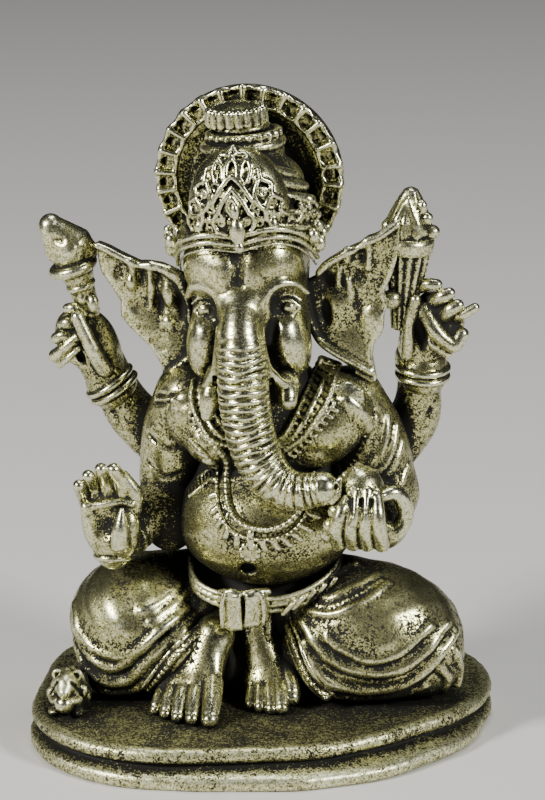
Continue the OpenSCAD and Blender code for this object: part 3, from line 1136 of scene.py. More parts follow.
@dataclass(frozen=True)
class Plinth:
    """A low plinth of two rolls with a groove between them, rounder on one side than the other."""

    radius: float = 17.0
    lower: tuple[tuple[float, float], ...] = (
        (-10.3, -6.1), (-6, -6.1), (2.3, -5), (6, -3.2), (9.7, 1.5), (10.3, 6.1), (-10.3, 6.1))
    upper: tuple[tuple[float, float], ...] = (
        (-10.3, -5.2), (-6.5, -4.7), (1.9, -2.9), (5.6, 0), (9.7, 4.4), (10.3, 5.5), (-10.3, 5.5))
    edge: tuple[tuple[float, float], ...] = (
        (-0.75, 0.0), (-0.25, 0.12), (0.0, 0.5), (0.06, 0.95), (0.0, 1.4), (-0.22, 1.75), (-0.6, 2.0),
        (-1.0, 2.2), (-1.15, 2.45), (-1.0, 2.7), (-0.55, 2.86), (-0.2, 3.05), (0.0, 3.4), (0.02, 3.8),
        (-0.1, 4.15), (-0.35, 4.45), (-0.75, 4.62), (-1.15, 4.62), (-1.5, 4.5), (-1.9, 4.45))
    sides: int = 420
    floors: int = 30

    def reach(self, inset: float, share: float, angles: Array) -> Array:
        """Distance from the middle to the outline.

        Args:
            inset: How far inside the full outline.
            share: 0 for the lower roll's outline and 1 for the upper one's.
            angles: Directions in radians.

        Returns:
            The distance in each direction.
        """
        centres = np.array(self.lower) * (1 - share) + np.array(self.upper) * share
        normals = np.linspace(0, 2 * math.pi, 1440, endpoint=False)
        span = (centres[:, :1] * np.cos(normals) + centres[:,
                                                           1:] * np.sin(normals)).max(0) + self.radius + inset
        facing = np.cos(normals[None, :] - angles[:, None])
        return np.where(facing > 0.2, span[None, :] / np.maximum(facing, 0.2), 1e9).min(1)

    def build(self, shop: Workshop) -> None:
        """Make the plinth.

        Args:
            shop: Where it is made.
        """
        rng = np.random.default_rng(11)
        angles = np.linspace(0, 2 * math.pi, self.sides, endpoint=False)
        wave = sum(rng.normal() * np.cos(k * angles + rng.uniform(0, 6.28)) / k**0.6
                   for k in range(3, 26)) * 0.05
        bm = bmesh.new()
        rows = [(inset, z, 1.0) for inset, z in self.edge]
        rows += [(-1.9, 4.45, 1.0 - (k + 1) / (self.floors + 0.5)) for k in range(self.floors)]
        rings = []
        for inset, z, scale in rows:
            share = min(max((z - 1.6) / 1.2, 0.0), 1.0)
            rough = 1.0 if z < 2 else 0.55
            jitter = rng.normal(size=self.sides)
            jitter = (jitter + np.roll(jitter, 1) + np.roll(jitter, -1)) / 3
            out = (self.reach(inset, share, angles) + wave * rough + jitter * 0.05 * rough) * scale
            lift = z + (0.0 if z < 0.05 else wave * 0.5 * scale + jitter * 0.03)
            verts = [bm.verts.new((r * math.cos(t), r * math.sin(t), h))
                     for r, t, h in zip(out, angles, np.broadcast_to(lift, angles.shape))]
            rings.append([bm.edges.new((verts[i], verts[i - 1])) for i in range(self.sides)])
        for a, b in zip(rings[:-1], rings[1:]):
            bmesh.ops.bridge_loops(bm, edges=a + b)
        bmesh.ops.contextual_create(bm, geom=rings[0])
        bmesh.ops.contextual_create(bm, geom=rings[-1])
        shadow = Form(np.array([-27.5, -23.2, -1.5]), np.array([27.5, 23.2, 4.5]), self.inside)
        shop.from_bmesh("plinth", bm, Finish.DECK, shadow=[shadow])

    def inside(self, x: Array, y: Array, z: Array) -> Array:
        """Rough distance to the plinth, with the table below it."""
        angles = np.linspace(0, 2 * math.pi, 361)
        out = self.reach(0.0, 1.0, angles)
        reach = np.interp(np.arctan2(y, x) % (2 * math.pi), angles, out)
        return np.maximum(np.sqrt(x * x + y * y) - reach, z - 4.5) + 0 * (x + y + z)


# ---- lower body ------------------------------------------------------------------------------


@dataclass(frozen=True)
class Fold:
    """A fold of cloth that hangs in a curve: its path as (x, z), its radius and how far it stands out."""

    path: tuple[tuple[float, float], ...]
    radius: float = 0.5
    lift: float = -0.1

    def press(self, clay: Clay, blend: float = 0.6) -> None:
        """Raise the fold from the clay, with a valley under it.

        Args:
            clay: The cloth.
            blend: How widely its foot is smoothed.
        """
        under = [(x, z - self.radius * 1.5) for x, z in self.path]
        valley = rope(clay.laid(under, -0.05), self.radius * 0.62, 1)
        ridge = rope(clay.laid(self.path, self.lift), self.radius, 1)
        clay.cut(valley, blend * 0.6)
        clay.add(ridge, blend)


@dataclass(frozen=True)
class LowerBody:
    """The draped seat, the two folded legs, the bare feet, the beaded hems and the waist sash."""

    floor: float = 4.4
    toe: float = 1.0

    def seat(self, shop: Workshop) -> None:
        """Make the gathered cloth that the figure sits on."""
        clay = Clay((-20, -8, 3.6), (20, 15.5, 24), 0.3)
        clay.add(egg((-9.5, 4.6, 10.6), (8.8, 8.2, 7.2))).add(egg((9.5, 4.6, 10.6), (8.8, 8.2, 7.2)), 2.0)
        clay.add(egg((0, 5.6, 14.5), (9.6, 7.6, 8.6)), 2.5).add(bar((-7, 0.2, 7.4), (7, 0.2, 7.4), 3.6), 1.5)
        for k in range(-4, 5):
            path = [(k * 1.1, 11.2 - 0.06 * k * k, 20.0), (k * 1.9, 12.9 - 0.1 * k * k, 14.5),
                    (k * 2.8, 10.4 + 0.08 * k * k, 7.5)]
            clay.add(rope(path, (0.4, 0.6, 0.5)), 1.1)
        for k in range(4):
            clay.add(rope([(-4.4 + 2.6 * k, -1.4, 17.0), (-3.8 + 2.4 * k, -3.2, 12.5),
                           (-3.6 + 2.2 * k, -3.0, 7.0)],
                          0.5), 0.6)
        clay.cut(slab(self.floor - 0.25))
        shop.from_clay("dhoti_seat", clay, Finish.SHADED)

    def right_leg(self, shop: Workshop) -> Clay:
        """Make the leg on the figure's right, whose cloth hangs in three deep folds."""
        clay = Clay((-25, -12, 3.6), (-2.2, 11, 23.5), 0.2)
        clay.add(egg((-15.0, -0.4, 13.3), (8.5, 8.5, 7.6), (0, -6, -8)))
        clay.add(bar((-17.5, -3.6, 8.6), (-9.5, -4.0, 10.2), 4.4, 3.9), 2.2)
        clay.add(bar((-9.5, -4.0, 10.2), (-6.2, -3.6, 12.0), 3.9, 3.0), 1.0)
        clay.add(bar((-12.5, 2.5, 14.2), (-6.0, 4.5, 16.5), 5.8, 4.8), 2.5)
        for fold in (
            Fold(((-22.6, 15.4), (-21.2, 12.7), (-18.9, 11.3), (-16.4, 11.0), (-14.2, 12.1), (-12.1, 13.9),
                  (-10.0, 15.2)), 0.42, -0.12),
            Fold(((-22.4, 13.6), (-20.8, 11.1), (-19.0, 9.8), (-16.8, 9.5), (-14.9, 10.7), (-13.1, 12.7),
                  (-11.0, 14.7), (-8.6, 16.2)), 0.52, -0.05),
            Fold(((-22.0, 11.4), (-20.6, 8.9), (-18.9, 7.7), (-16.9, 7.3), (-15.1, 8.0), (-13.5, 9.7),
                  (-11.4, 12.2), (-9.4, 13.9), (-6.9, 15.8)), 0.58, 0.0),
            Fold(((-21.2, 8.6), (-19.6, 6.6), (-17.4, 5.9), (-15.0, 6.2), (-13.2, 7.6)), 0.5, -0.1),
            Fold(((-13.4, 7.6), (-12.2, 9.8), (-10.6, 12.0), (-8.6, 13.9)), 0.4, -0.1),
        ):
            fold.press(clay)
        for path in (((-13.6, 16.6), (-11.6, 17.4), (-9.8, 18.6)),
                     ((-12.6, 15.2), (-10.4, 16.6), (-8.2, 18.0))):
            clay.add(rope(clay.laid(path, -0.2), 0.4, 1), 0.8)
        clay.emboss((-25, -12, 3.6), (-2.2, 11, 23.5),
                    lambda x, y, z: 0.09 * np.sin(1.3 * x + 0.7 * z) * np.sin(1.1 * y - 0.9 * z))
        clay.cut(slab(self.floor - 0.1))
        shop.from_clay("right_leg", clay)
        return clay

    def left_leg(self, shop: Workshop) -> Clay:
        """Make the leg on the figure's left, with the sash thrown over its thigh."""
        clay = Clay((1.6, -11.5, 3.6), (26, 11, 23.5), 0.2)
        clay.add(egg((13.6, 0, 12.9), (10.5, 8.1, 7.7), (0, 6, 8)))
        clay.add(bar((19.4, 0.6, 9.2), (9.0, -2.6, 9.0), 4.7, 4.1), 2.2)
        clay.add(bar((9.0, -2.6, 9.0), (5.4, -1.6, 11.0), 4.0, 3.2), 1.0)
        clay.add(bar((12.5, 2.5, 14.2), (5.5, 4.5, 16.5), 5.6, 4.8), 2.5)
        for fold in (
            Fold(((8.6, 13.9), (10.8, 12.6), (13.3, 11.7), (15.7, 11.8), (18.1, 13.1), (20.6, 15.2)), 0.42,
                 -0.12),
            Fold(((5.4, 15.2), (7.1, 13.1), (9.1, 11.3), (11.5, 10.2), (14.4, 9.8), (17.3, 10.3),
                  (20.0, 12.2),
                  (22.4, 14.8)), 0.5, -0.05),
            Fold(((5.6, 12.6), (6.9, 10.3), (8.7, 8.3), (11.0, 7.4), (13.8, 7.2), (16.7, 7.6), (19.3, 8.9),
                  (21.6, 11.3), (23.4, 13.6)), 0.58, 0.0),
            Fold(((8.4, 6.6), (10.8, 5.9), (13.8, 5.8), (17.0, 6.1), (20.0, 7.4)), 0.42, -0.1),
            Fold(((21.8, 9.8), (22.6, 8.0), (22.2, 6.2)), 0.5, -0.1),
            Fold(((23.6, 11.0), (24.0, 8.6), (23.6, 6.2)), 0.5, -0.1),
        ):
            fold.press(clay)
        for path in (((6.4, 18.4), (8.6, 18.2), (11.0, 19.4), (14.0, 20.4)),
                     ((5.4, 16.6), (8.4, 16.6), (11.8, 17.9), (15.4, 19.8)),
                     ((5.4, 19.6), (8.4, 19.9), (11.2, 21.0))):
            clay.add(rope(clay.laid(path, -0.1), 0.45, 1), 0.5)
        clay.add(beads(clay.laid(((5.6, 17.5), (8.5, 17.4), (11.4, 18.6), (14.6, 20.1)), 0.05), 0.3, 0.62),
                 0.1)
        clay.emboss((1.6, -11.5, 3.6), (26, 11, 23.5),
                    lambda x, y, z: 0.09 * np.sin(1.2 * x - 0.7 * z) * np.sin(1.1 * y + 0.9 * z))
        clay.cut(slab(self.floor - 0.1))
        shop.from_clay("left_leg", clay)
        return clay

    def foot(self, shop: Workshop, name: str, low: Point, high: Point, ankle: Point, heel: Point,
             toes: Sequence[tuple[Point, Point, Point]], big: float) -> None:
        """Make a foot.

        Args:
            shop: Where it is made.
            name: Its name.
            low: Lowest corner of its clay.
            high: Highest corner of its clay.
            ankle: Where the leg comes in.
            heel: The back of the sole.
            toes: For each toe its root, its joint and its tip, the big toe first.
            big: Radius of the big toe.
        """
        clay = Clay(low, high, 0.16)
        clay.add(bar(ankle, heel, 2.3, 1.9))
        for k, (root, _, _) in enumerate(toes):
            clay.add(bar(ankle, root, 1.9, 0.95 - 0.04 * k), 1.0)
            clay.add(bar(heel, root, 1.4, 0.8), 1.0)
        for k, path in enumerate(toes):
            digit(clay, path, big if k == 0 else self.toe - 0.05 * k, 0.22, True)
        clay.cut(slab(self.floor - 0.05))
        shop.from_clay(name, clay, Finish.POLISHED, painted_light_bias=0.08)

    def hems(self, shop: Workshop, right: Clay, left: Clay) -> None:
        """Make the beaded hems that frame the feet.

        Args:
            shop: Where they are made.
            right: The clay of the leg on the figure's right.
            left: The clay of the other leg.
        """
        for name, leg, path in (
            ("dhoti_border_right", right,
             ((-13.0, 6.6), (-11.4, 8.8), (-9.6, 11.2), (-7.6, 13.2), (-4.6, 14.6))),
            ("dhoti_border_left", left, ((8.4, 6.4), (6.6, 8.2), (5.2, 10.6), (4.1, 13.0), (2.8, 14.6))),
        ):
            low = (min(p[0] for p in path) - 1.6, -12, 4.2)
            clay = Clay(low, (max(p[0] for p in path) + 1.6, 2, 17), 0.16)
            clay.add(rope(leg.laid(path, 0.1), 0.62, 1)).add(beads(leg.laid(path, 0.62), 0.34, 0.72), 0.08)
            side = 1 if name.endswith("right") else -1
            for k, off in enumerate((0.75, -0.75)):
                clay.add(rope(leg.laid([(x + side * off, z - off * 0.5) for x, z in path], 0.15), 0.3, 1),
                         0.2)
            clay.cut(slab(self.floor))
            shop.from_clay(name, clay, Finish.POLISHED)

    def sash(self, shop: Workshop) -> None:
        """Make the rolled sash round the waist and its folded buckle."""
        clay = Clay((-13, -11, 15.4), (13, 2, 25.5), 0.17)
        path = [(-8.6, -1.6, 21.0), (-8.1, -3.9, 20.0), (-6.8, -6.0, 19.2), (-4.4, -7.2, 18.6),
                (-0.8, -7.6, 18.2),
                (2.6, -6.8, 18.1), (5.4, -5.8, 18.7), (7.6, -4.2, 19.7), (8.9, -2.0, 20.8), (9.1, 0.4, 21.8)]
        for off, y, radius in ((0.5, 0.0, 0.3), (-0.25, 0.35, 0.45), (-1.1, 0.8, 0.45)):
            clay.add(rope([(q[0], q[1] + y, q[2] + off) for q in path], radius), 0.15)
        for k in range(5):
            clay.add(rope([(3.2 + 1.2 * k, -6.6 + 0.7 * k, 16.6 + 0.5 * k),
                           (4.4 + 1.2 * k, -6.6 + 0.7 * k, 17.9 + 0.6 * k)],
                          0.3), 0.2)
        shop.from_clay("waist_sash", clay, Finish.SHADED, painted_light_bias=0.05)
        clay = Clay((-6, -11.5, 14), (3.6, -4, 22), 0.16)

        def sag(x: Array, z: Array) -> Array:
            """The tabs bow forward in the middle."""
            return 0.12 * (x + 1.2) ** 2 - 0.05 * (z - 17.5) - 0.35

        clay.add(plate(((-4.1, 15.4), (-4.2, 17.6), (-4.0, 19.7), (-1.5, 19.9), (-1.35, 17.6), (-1.3, 15.2),
                        (-2.7, 14.9)),
                       -8.2, 2.2, 0.5, sag))
        clay.add(plate(((-1.15, 15.5), (-1.05, 17.8), (-1.0, 20.0), (1.5, 20.1), (1.75, 18.0), (1.7, 16.2),
                        (0.3, 15.6)),
                       -8.2, 2.3, 0.5, sag))
        clay.add(rope([(-3.7, -9.3, 15.6), (-3.8, -9.5, 17.6), (-3.6, -9.3, 19.6)], 0.26), 0.3)
        clay.add(rope([(1.2, -9.3, 16.2), (1.3, -9.5, 17.8), (1.1, -9.3, 19.8)], 0.26), 0.3)
        clay.cut(rope([(-2.6, -9.9, 15.4), (-2.7, -10.0, 17.5), (-2.6, -9.9, 19.2)], 0.12), 0.2)
        clay.add(rope([(-4.2, -8.2, 19.6), (-2.6, -9.0, 20.0), (-1.3, -8.9, 19.8), (0.4, -9.1, 20.2),
                       (1.7, -8.4, 20.0)], 0.36), 0.3)
        shop.from_clay("sash_knot", clay, Finish.POLISHED, painted_light_bias=0.05)

    def build(self, shop: Workshop) -> None:
        """Make the lower body.

        Args:
            shop: Where it is made.
        """
        self.seat(shop)
        right, left = self.right_leg(shop), self.left_leg(shop)
        z = self.floor + 0.75
        self.foot(shop, "right_foot", (-13.9, -15.5, 4), (-2.2, -0.5, 17), (-5.4, -4.8, 12.8),
                  (-6.4, -5.4, 7.0), (
            ((-4.9, -9.0, z + 3.1), (-4.7, -11.4, z + 1.7), (-4.7, -13.4, z + 0.2)),
            ((-6.8, -9.0, z + 3.0), (-6.9, -11.2, z + 1.6), (-6.9, -13.0, z + 0.1)),
            ((-8.3, -8.7, z + 2.8), (-8.6, -10.7, z + 1.5), (-8.7, -12.4, z)),
            ((-9.6, -8.1, z + 2.5), (-10.1, -10.0, z + 1.3), (-10.3, -11.5, z)),
            ((-10.7, -7.4, z + 2.2), (-11.4, -9.0, z + 1.1), (-11.7, -10.3, z))), 1.2)
        self.foot(shop, "left_foot", (-4.5, -10.4, 4), (7.5, 3, 17), (-0.6, -0.8, 12.8), (0.6, -1.4, 7.0), (
            ((2.9, -3.2, z + 3.4), (4.0, -5.0, z + 2.4), (4.3, -6.6, z + 0.9)),
            ((2.4, -4.6, z + 2.6), (3.0, -6.6, z + 1.4), (3.3, -8.2, z + 0.1)),
            ((1.4, -4.8, z + 2.4), (1.8, -6.7, z + 1.3), (2.0, -8.3, z)),
            ((0.3, -4.8, z + 2.2), (0.5, -6.5, z + 1.2), (0.6, -7.9, z)),
            ((-0.7, -4.4, z + 1.9), (-0.7, -5.9, z + 1.0), (-0.7, -7.2, z))), 1.15)
        self.hems(shop, right, left)
        self.sash(shop)


# ---- torso -----------------------------------------------------------------------------------


@dataclass(frozen=True)
class Torso:
    """The round belly, the chest and the shoulders."""

    belly: tuple[Point, Point] = ((0.3, 0.5, 26.3), (10.8, 9.0, 8.0))
    chest: tuple[Point, Point] = ((0.3, 1.5, 37.5), (10.0, 6.5, 7.5))

    def build(self, shop: Workshop) -> Clay:
        """Make the torso.

        Args:
            shop: Where it is made.

        Returns:
            Its clay, for laying ornaments on.
        """
        clay = Clay((-14.5, -11, 16.5), (15.5, 12, 47.5), 0.22)
        clay.add(egg(*self.belly)).add(egg(*self.chest), 3.0)
        clay.add([egg((-7.8, -0.4, 39.4), (4.0, 4.4, 4.8)), egg((9.2, -0.4, 40.0), (4.2, 4.4, 5.0))], 1.6)
        clay.add(egg((-6.0, -3.7, 37.0), (2.7, 2.5, 2.9)), 0.8).add(egg((7.0, -3.0, 38.0), (3.9, 2.7, 4.0)),
                                                                    1.2)
        clay.add(egg((-9.5, 1.5, 40.2), (3.3, 3.2, 3.2)), 1.5).add(egg((10.8, 1.2, 40.2), (3.5, 3.4, 3.4)),
                                                                   1.5)
        clay.add(bar((0, 1.5, 41), (-0.6, 0.8, 46.6), 6.2, 4.8), 1.5)
        clay.add(egg((0, 5.4, 24), (9.0, 4.6, 8.0)), 2.0).add(egg((0, 4.4, 37), (8.6, 5.0, 8.0)), 2.0)
        clay.add(egg((0.2, 4.6, 31.0), (8.6, 4.7, 10.5)), 2.5)
        clay.cut(bar((-0.7, -10.5, 21.4), (-0.9, -6.5, 22.3), 0.95), 0.3)
        clay.cut(rope([(0.2, 11.4, 42), (0.2, 10.4, 36), (0.2, 11.0, 30), (0.2, 12.2, 26)], 0.7), 1.2)
        for path in (((-8.6, 33.4), (-5.6, 33.0), (-2.4, 33.6)), ((3.4, 33.8), (6.6, 33.4), (9.4, 34.4))):
            clay.cut(rope(clay.laid(path, -0.05), 0.35, 1), 0.7)
        clay.add(rope(clay.laid(((10.4, 42.6), (11.9, 41.0), (12.6, 39.0)), -0.4), 0.9, 1), 0.8)
        shop.from_clay("torso", clay, Finish.POLISHED, soften=2)
        return clay


# ---- head ------------------------------------------------------------------------------------


@dataclass(frozen=True)
class Head:
    """The elephant head with its trunk, tusks and ears."""

    pose: Pose = Pose((-0.9, 0.0, 45.0), 4.5, 3.0)
    axis: tuple[Point, ...] = ((-1.8, -5.6, 54.8), (-1.7, -8.0, 51.4), (-1.3, -8.9, 47.4), (-0.9, -9.4, 43.0),
                               (0.2, -9.8, 38.2), (2.2, -10.4, 34.8), (5.0, -10.8, 33.4), (8.4, -11.0, 33.9))
    radii: tuple[float, ...] = (2.2, 2.5, 3.0, 3.0, 2.85, 2.65, 2.3, 1.95)
    split: float = 46.4

    def wrinkle(self, x: Array, y: Array, z: Array) -> Array:
        """Height of the rings across the front of the trunk.

        Args:
            x: First coordinates.
            y: Second coordinates.
            z: Third coordinates.

        Returns:
            The height.
        """
        path = smooth_path(self.axis, 4)
        nearest, along, start = np.float32(1e6), np.float32(0), 0.0
        ahead, aside = np.float32(0), np.float32(0)
        for p, q in zip(path[:-1], path[1:]):
            d = q - p
            span = float(d @ d)
            t = np.clip(((x - p[0]) * d[0] + (y - p[1]) * d[1] + (z - p[2]) * d[2]) / span, 0, 1)
            gap = (x - p[0] - t * d[0]) ** 2 + (y - p[1] - t * d[1]) ** 2 + (z - p[2] - t * d[2]) ** 2
            closer = gap < nearest
            nearest = np.where(closer, gap, nearest)
            along = np.where(closer, start + t * math.sqrt(span), along)
            ahead = np.where(closer, p[1] + t * d[1] - y, ahead)
            aside = np.where(closer, np.abs(x - p[0] - t * d[0]), aside)
            start += math.sqrt(span)
        fade = np.clip((along - 4.0) / 4.0, 0, 1) * np.clip(ahead * 0.7 + 0.1, 0,
                                                            1) * np.clip(4.2 - np.sqrt(nearest), 0, 1)
        phase = (7.2 * along + 0.7 * np.sin(0.9 * along) + 0.9 * np.sin(1.3 * x + 0.8 * along)
                 + 0.25 * aside**2)
        groove = (0.5 + 0.5 * np.cos(phase)) ** 2
        broken = 0.75 + 0.25 * np.sin(2.3 * x + 3.1 * along)
        return (0.1 - 0.4 * groove * broken) * fade

    def root(self, clay: Clay) -> None:
        """Press the trunk on to clay."""
        clay.add(rope(self.axis, self.radii, 6), 0.5)
        clay.emboss((-6.5, -15.0, 29.0), (12.5, -7.0, 53.0), self.wrinkle)

    def face(self, shop: Workshop) -> None:
        """Make the skull and the face, down to the top of the trunk."""
        clay = Clay((-12.5, -14.5, 38), (9.5, 9, 68), 0.165, self.pose)
        clay.add(egg((0, 0.8, 12.8), (7.3, 7.0, 7.0)))
        clay.add([egg((s * 2.9, -2.4, 13.6), (4.0, 4.0, 4.9)) for s in (-1, 1)], 1.6)
        clay.add(egg((0.1, 0.1, 6.6), (7.0, 5.8, 7.2)), 2.0)
        clay.add([egg((s * 4.9, -2.6, 4.4), (2.45, 3.6, 4.7), (0, -s * 9, 0)) for s in (-1, 1)], 0.9)
        bridge = [((-1.2, -4.4, 13.2), (-1.0, -5.4, 9.4)), ((1.2, -4.4, 13.2), (1.4, -5.4, 9.4)),
                  ((-0.8, -5.4, 9.6), (-0.5, -6.4, 5.6)), ((1.3, -5.4, 9.6), (1.2, -6.4, 5.6))]
        clay.add([bar(a, b, 2.3, 1.95) for a, b in bridge], 1.4)
        clay.add(egg((0, -1.5, 1.0), (4.8, 4.8, 3.4)), 1.2)
        clay.pose = None
        clay.add(bar((-0.9, 0.5, 47), (-0.9, 1, 42), 4.6, 4.6), 1.5)
        clay.pose = self.pose
        # eyes in wide sockets, with creased lids
        for s, x in ((-1, 4.5), (1, 5.3)):
            clay.cut(egg((s * x, -7.3, 8.8), (2.2, 3.0, 2.1), (0, s * 10, 0)), 0.7)
            clay.cut(egg((s * (x - 1.5), -7.1, 6.6), (0.75, 1.7, 2.9), (0, s * 12, 0)), 0.5)
            clay.add(egg((s * x, -3.9, 8.5), (1.0, 0.9, 0.75)), 0.1)
            for lid, y, radius in (
                ([(-1.4, -0.2), (-0.7, 0.75), (0.4, 0.8), (1.4, -0.1)], -4.5, 0.2),
                ([(-1.4, -0.3), (-0.4, -0.85), (0.6, -0.8), (1.4, -0.2)], -4.5, 0.17),
                ([(-1.6, 0.8), (-0.6, 1.5), (0.6, 1.5), (1.6, 0.7)], -4.7, 0.15),
            ):
                path = [(s * (x + u), y + 0.16 * (u + 1.5) ** 2 * 0.35, 8.5 + v) for u, v in lid]
                clay.add(rope(path, radius), 0.2)
            clay.add(rope([(s * (x - 2.3), -6.0, 8.2), (s * (x - 2.1), -6.3, 10.4),
                           (s * (x - 0.6), -5.95, 11.6),
                                                   (s * (x + 1.2), -4.9, 11.4), (s * (x + 2.3), -3.4, 9.9)],
                          0.3), 1.0)
        for k in range(5):
            x = -0.9 + 0.5 * k
            clay.cut(rope([(x, -8.6, 8.0 + 0.3 * (k % 2)), (x + 0.1, -8.75, 6.9),
                           (x, -8.9, 5.6 - 0.4 * (k % 2))], 0.14), 0.2)
        clay.cut(rope([(0.1, -6.6, 16.0), (0.2, -6.7, 14.0), (0.1, -6.9, 12.2)], 0.4), 1.2)
        clay.pose = None
        self.root(clay)
        clay.pose = self.pose
        # the cheek swells round the root of the left tusk, with a deep hollow above it
        for s in (-1, 1):
            ridge = [(s * 2.4, -7.4, 7.0), (s * 2.6, -8.2, 4.4), (s * 3.0, -8.2, 2.2), (s * 4.0, -7.2, 0.6),
                     (s * 4.9, -6.0, -0.8)]
            clay.add(rope(ridge, (0.35, 0.55, 0.65, 0.7, 0.8)), 0.7)
        clay.add(egg((4.7, -4.8, -0.8), (1.5, 1.9, 1.6), (0, 12, 0)), 0.6)
        clay.cut([egg((s * 4.9, -6.3, 1.2), (0.9, 1.3, 0.65), (0, s * 35, 0)) for s in (-1, 1)], 0.4)
        clay.pose = None
        clay.cut(Form(np.array([-13.0, -15.0, 30.0]), np.array([10.0, -4.9, self.split]),
                      lambda x, y, z: np.maximum(np.maximum(z - self.split, np.abs(x + 1.3) - 3.6), y + 4.9)))
        shop.from_clay("head", clay, Finish.POLISHED, painted_light_bias=0.2)

    def trunk(self, shop: Workshop) -> None:
        """Make the ringed trunk, with a slit at its tip."""
        clay = Clay((-6, -14.8, 29.6), (12, -3.5, 47.6), 0.14)
        self.root(clay)
        clay.cut(bar((10.2, -12.0, 34.4), (10.1, -10.4, 34.2), 0.42), 0.3)
        clay.add(rope([(9.6, -12.2, 32.6), (10.3, -11.7, 33.4), (10.4, -11.2, 35.2)], 0.3), 0.4)
        top = self.split - 0.02
        clay.cut(Form(np.array([-8.0, -16.0, top]), np.array([14.0, -2.0, 50.0]), lambda x, y,
                      z: top - z + 0 * (x + y)))
        shop.from_clay("trunk", clay, Finish.POLISHED, painted_light_bias=0.22)

    def tusks(self, shop: Workshop) -> None:
        """Make the two short tusks."""
        for name, path, radii in (
            ("right_tusk", [(-3.3, -5.4, 1.0), (-4.2, -6.6, -1.4), (-4.8, -7.2, -3.6)], (1.5, 1.4, 0.7)),
            ("left_tusk", [(4.4, -5.2, -0.2), (4.8, -6.2, -1.4), (4.9, -6.7, -2.2)], (1.3, 1.25, 1.1)),
        ):
            forms = [f.posed(self.pose) for f in rope(path, radii)]
            low, high = np.min([f.low for f in forms], 0) - 0.6, np.max([f.high for f in forms], 0) + 0.6
            clay = Clay(tuple(low), tuple(high), 0.15).add(forms)
            shop.from_clay(name, clay, Finish.POLISHED, painted_light_bias=0.1)

    def ear(self, shop: Workshop, side: int) -> None:
        """Make an ear.

        Args:
            shop: Where it is made.
            side: 1 for the figure's left and -1 for its right.
        """
        if side > 0:
            outline = [(6.0, 10.0), (7.8, 10.8), (8.5, 11.7), (9.4, 12.8), (10.8, 13.6), (12.1, 14.2),
                       (13.4, 14.7),
                       (14.5, 15.5), (15.3, 15.7), (16.4, 16.2), (18.2, 17.1), (18.1, 14.9), (17.6, 12.5),
                       (16.7, 10.3),
                       (15.9, 9.0), (16.2, 7.3), (15.6, 6.0), (15.1, 4.3), (14.3, 2.7), (14.0, 1.0),
                       (14.3, -1.7),
                       (12.3, -0.8), (10.5, 0.4), (8.9, 1.5), (7.4, 2.8), (6.9, 4.6), (6.2, 8.0)]
        else:
            outline = [(5.8, 10.9), (7.7, 11.6), (8.8, 12.3), (10.3, 13.1), (11.8, 13.4), (13.0, 13.4),
                       (14.0, 13.9),
                       (15.0, 14.4), (16.6, 15.3), (18.1, 15.9), (18.1, 14.0), (17.9, 12.2), (16.7, 10.2),
                       (15.8, 8.6),
                       (16.0, 6.7), (15.0, 5.3), (13.8, 4.1), (12.5, 2.7), (11.7, 1.3), (11.3, 0.2),
                       (11.6, -1.5),
                       (10.1, -0.3), (8.1, 1.1), (6.0, 3.0), (5.4, 7.0)]
        low, high = ((4.6, -2.6, -3.0), (19.2, 4.4, 18.0))
        if side < 0:
            outline = mirrored(outline)
            low, high = (-19.2, low[1], low[2]), (-4.6, high[1], high[2])
        pose = self.pose
        reach = pose.out([low, high, (low[0], low[1], high[2]), (high[0], low[1], low[2])])
        clay = Clay(tuple(reach.min(0) - 0.8), tuple(reach.max(0) + 0.8), 0.17, pose)

        def bow(x: Array, z: Array) -> Array:
            """The middle of the ear is dished, and its outer half stands a little back."""
            dish = 0.9 * np.exp(-(((np.abs(x) - 11.5) / 4.0) ** 2) - ((z - 8.0) / 4.5) ** 2)
            return dish + 0.0175 * (np.abs(x) - 11) ** 2 + 0.12 * np.sin(0.9 * x + 0.6 * z)

        clay.add(plate(outline, 0.6, 1.5, 0.35, bow))

        def strand(path: Sequence[tuple[float, float]], radius: float | Sequence[float], out: float = 0.15,
                   blend: float = 0.35) -> None:
            """A raised strand on the ear's front."""
            points = [(side * x, float(bow(side * x, z)) - out, z) for x, z in path]
            clay.add(rope(points, radius), blend)

        def lump(centre: tuple[float, float], radii: Point, dug: bool = False, blend: float = 0.4) -> None:
            """A swelling on the ear's front, or a hollow in it."""
            x, z = centre
            form = egg((side * x, float(bow(side * x, z)) - (0.5 if dug else 0.0), z), radii)
            if dug:
                clay.cut(form, blend)
            else:
                clay.add(form, blend)

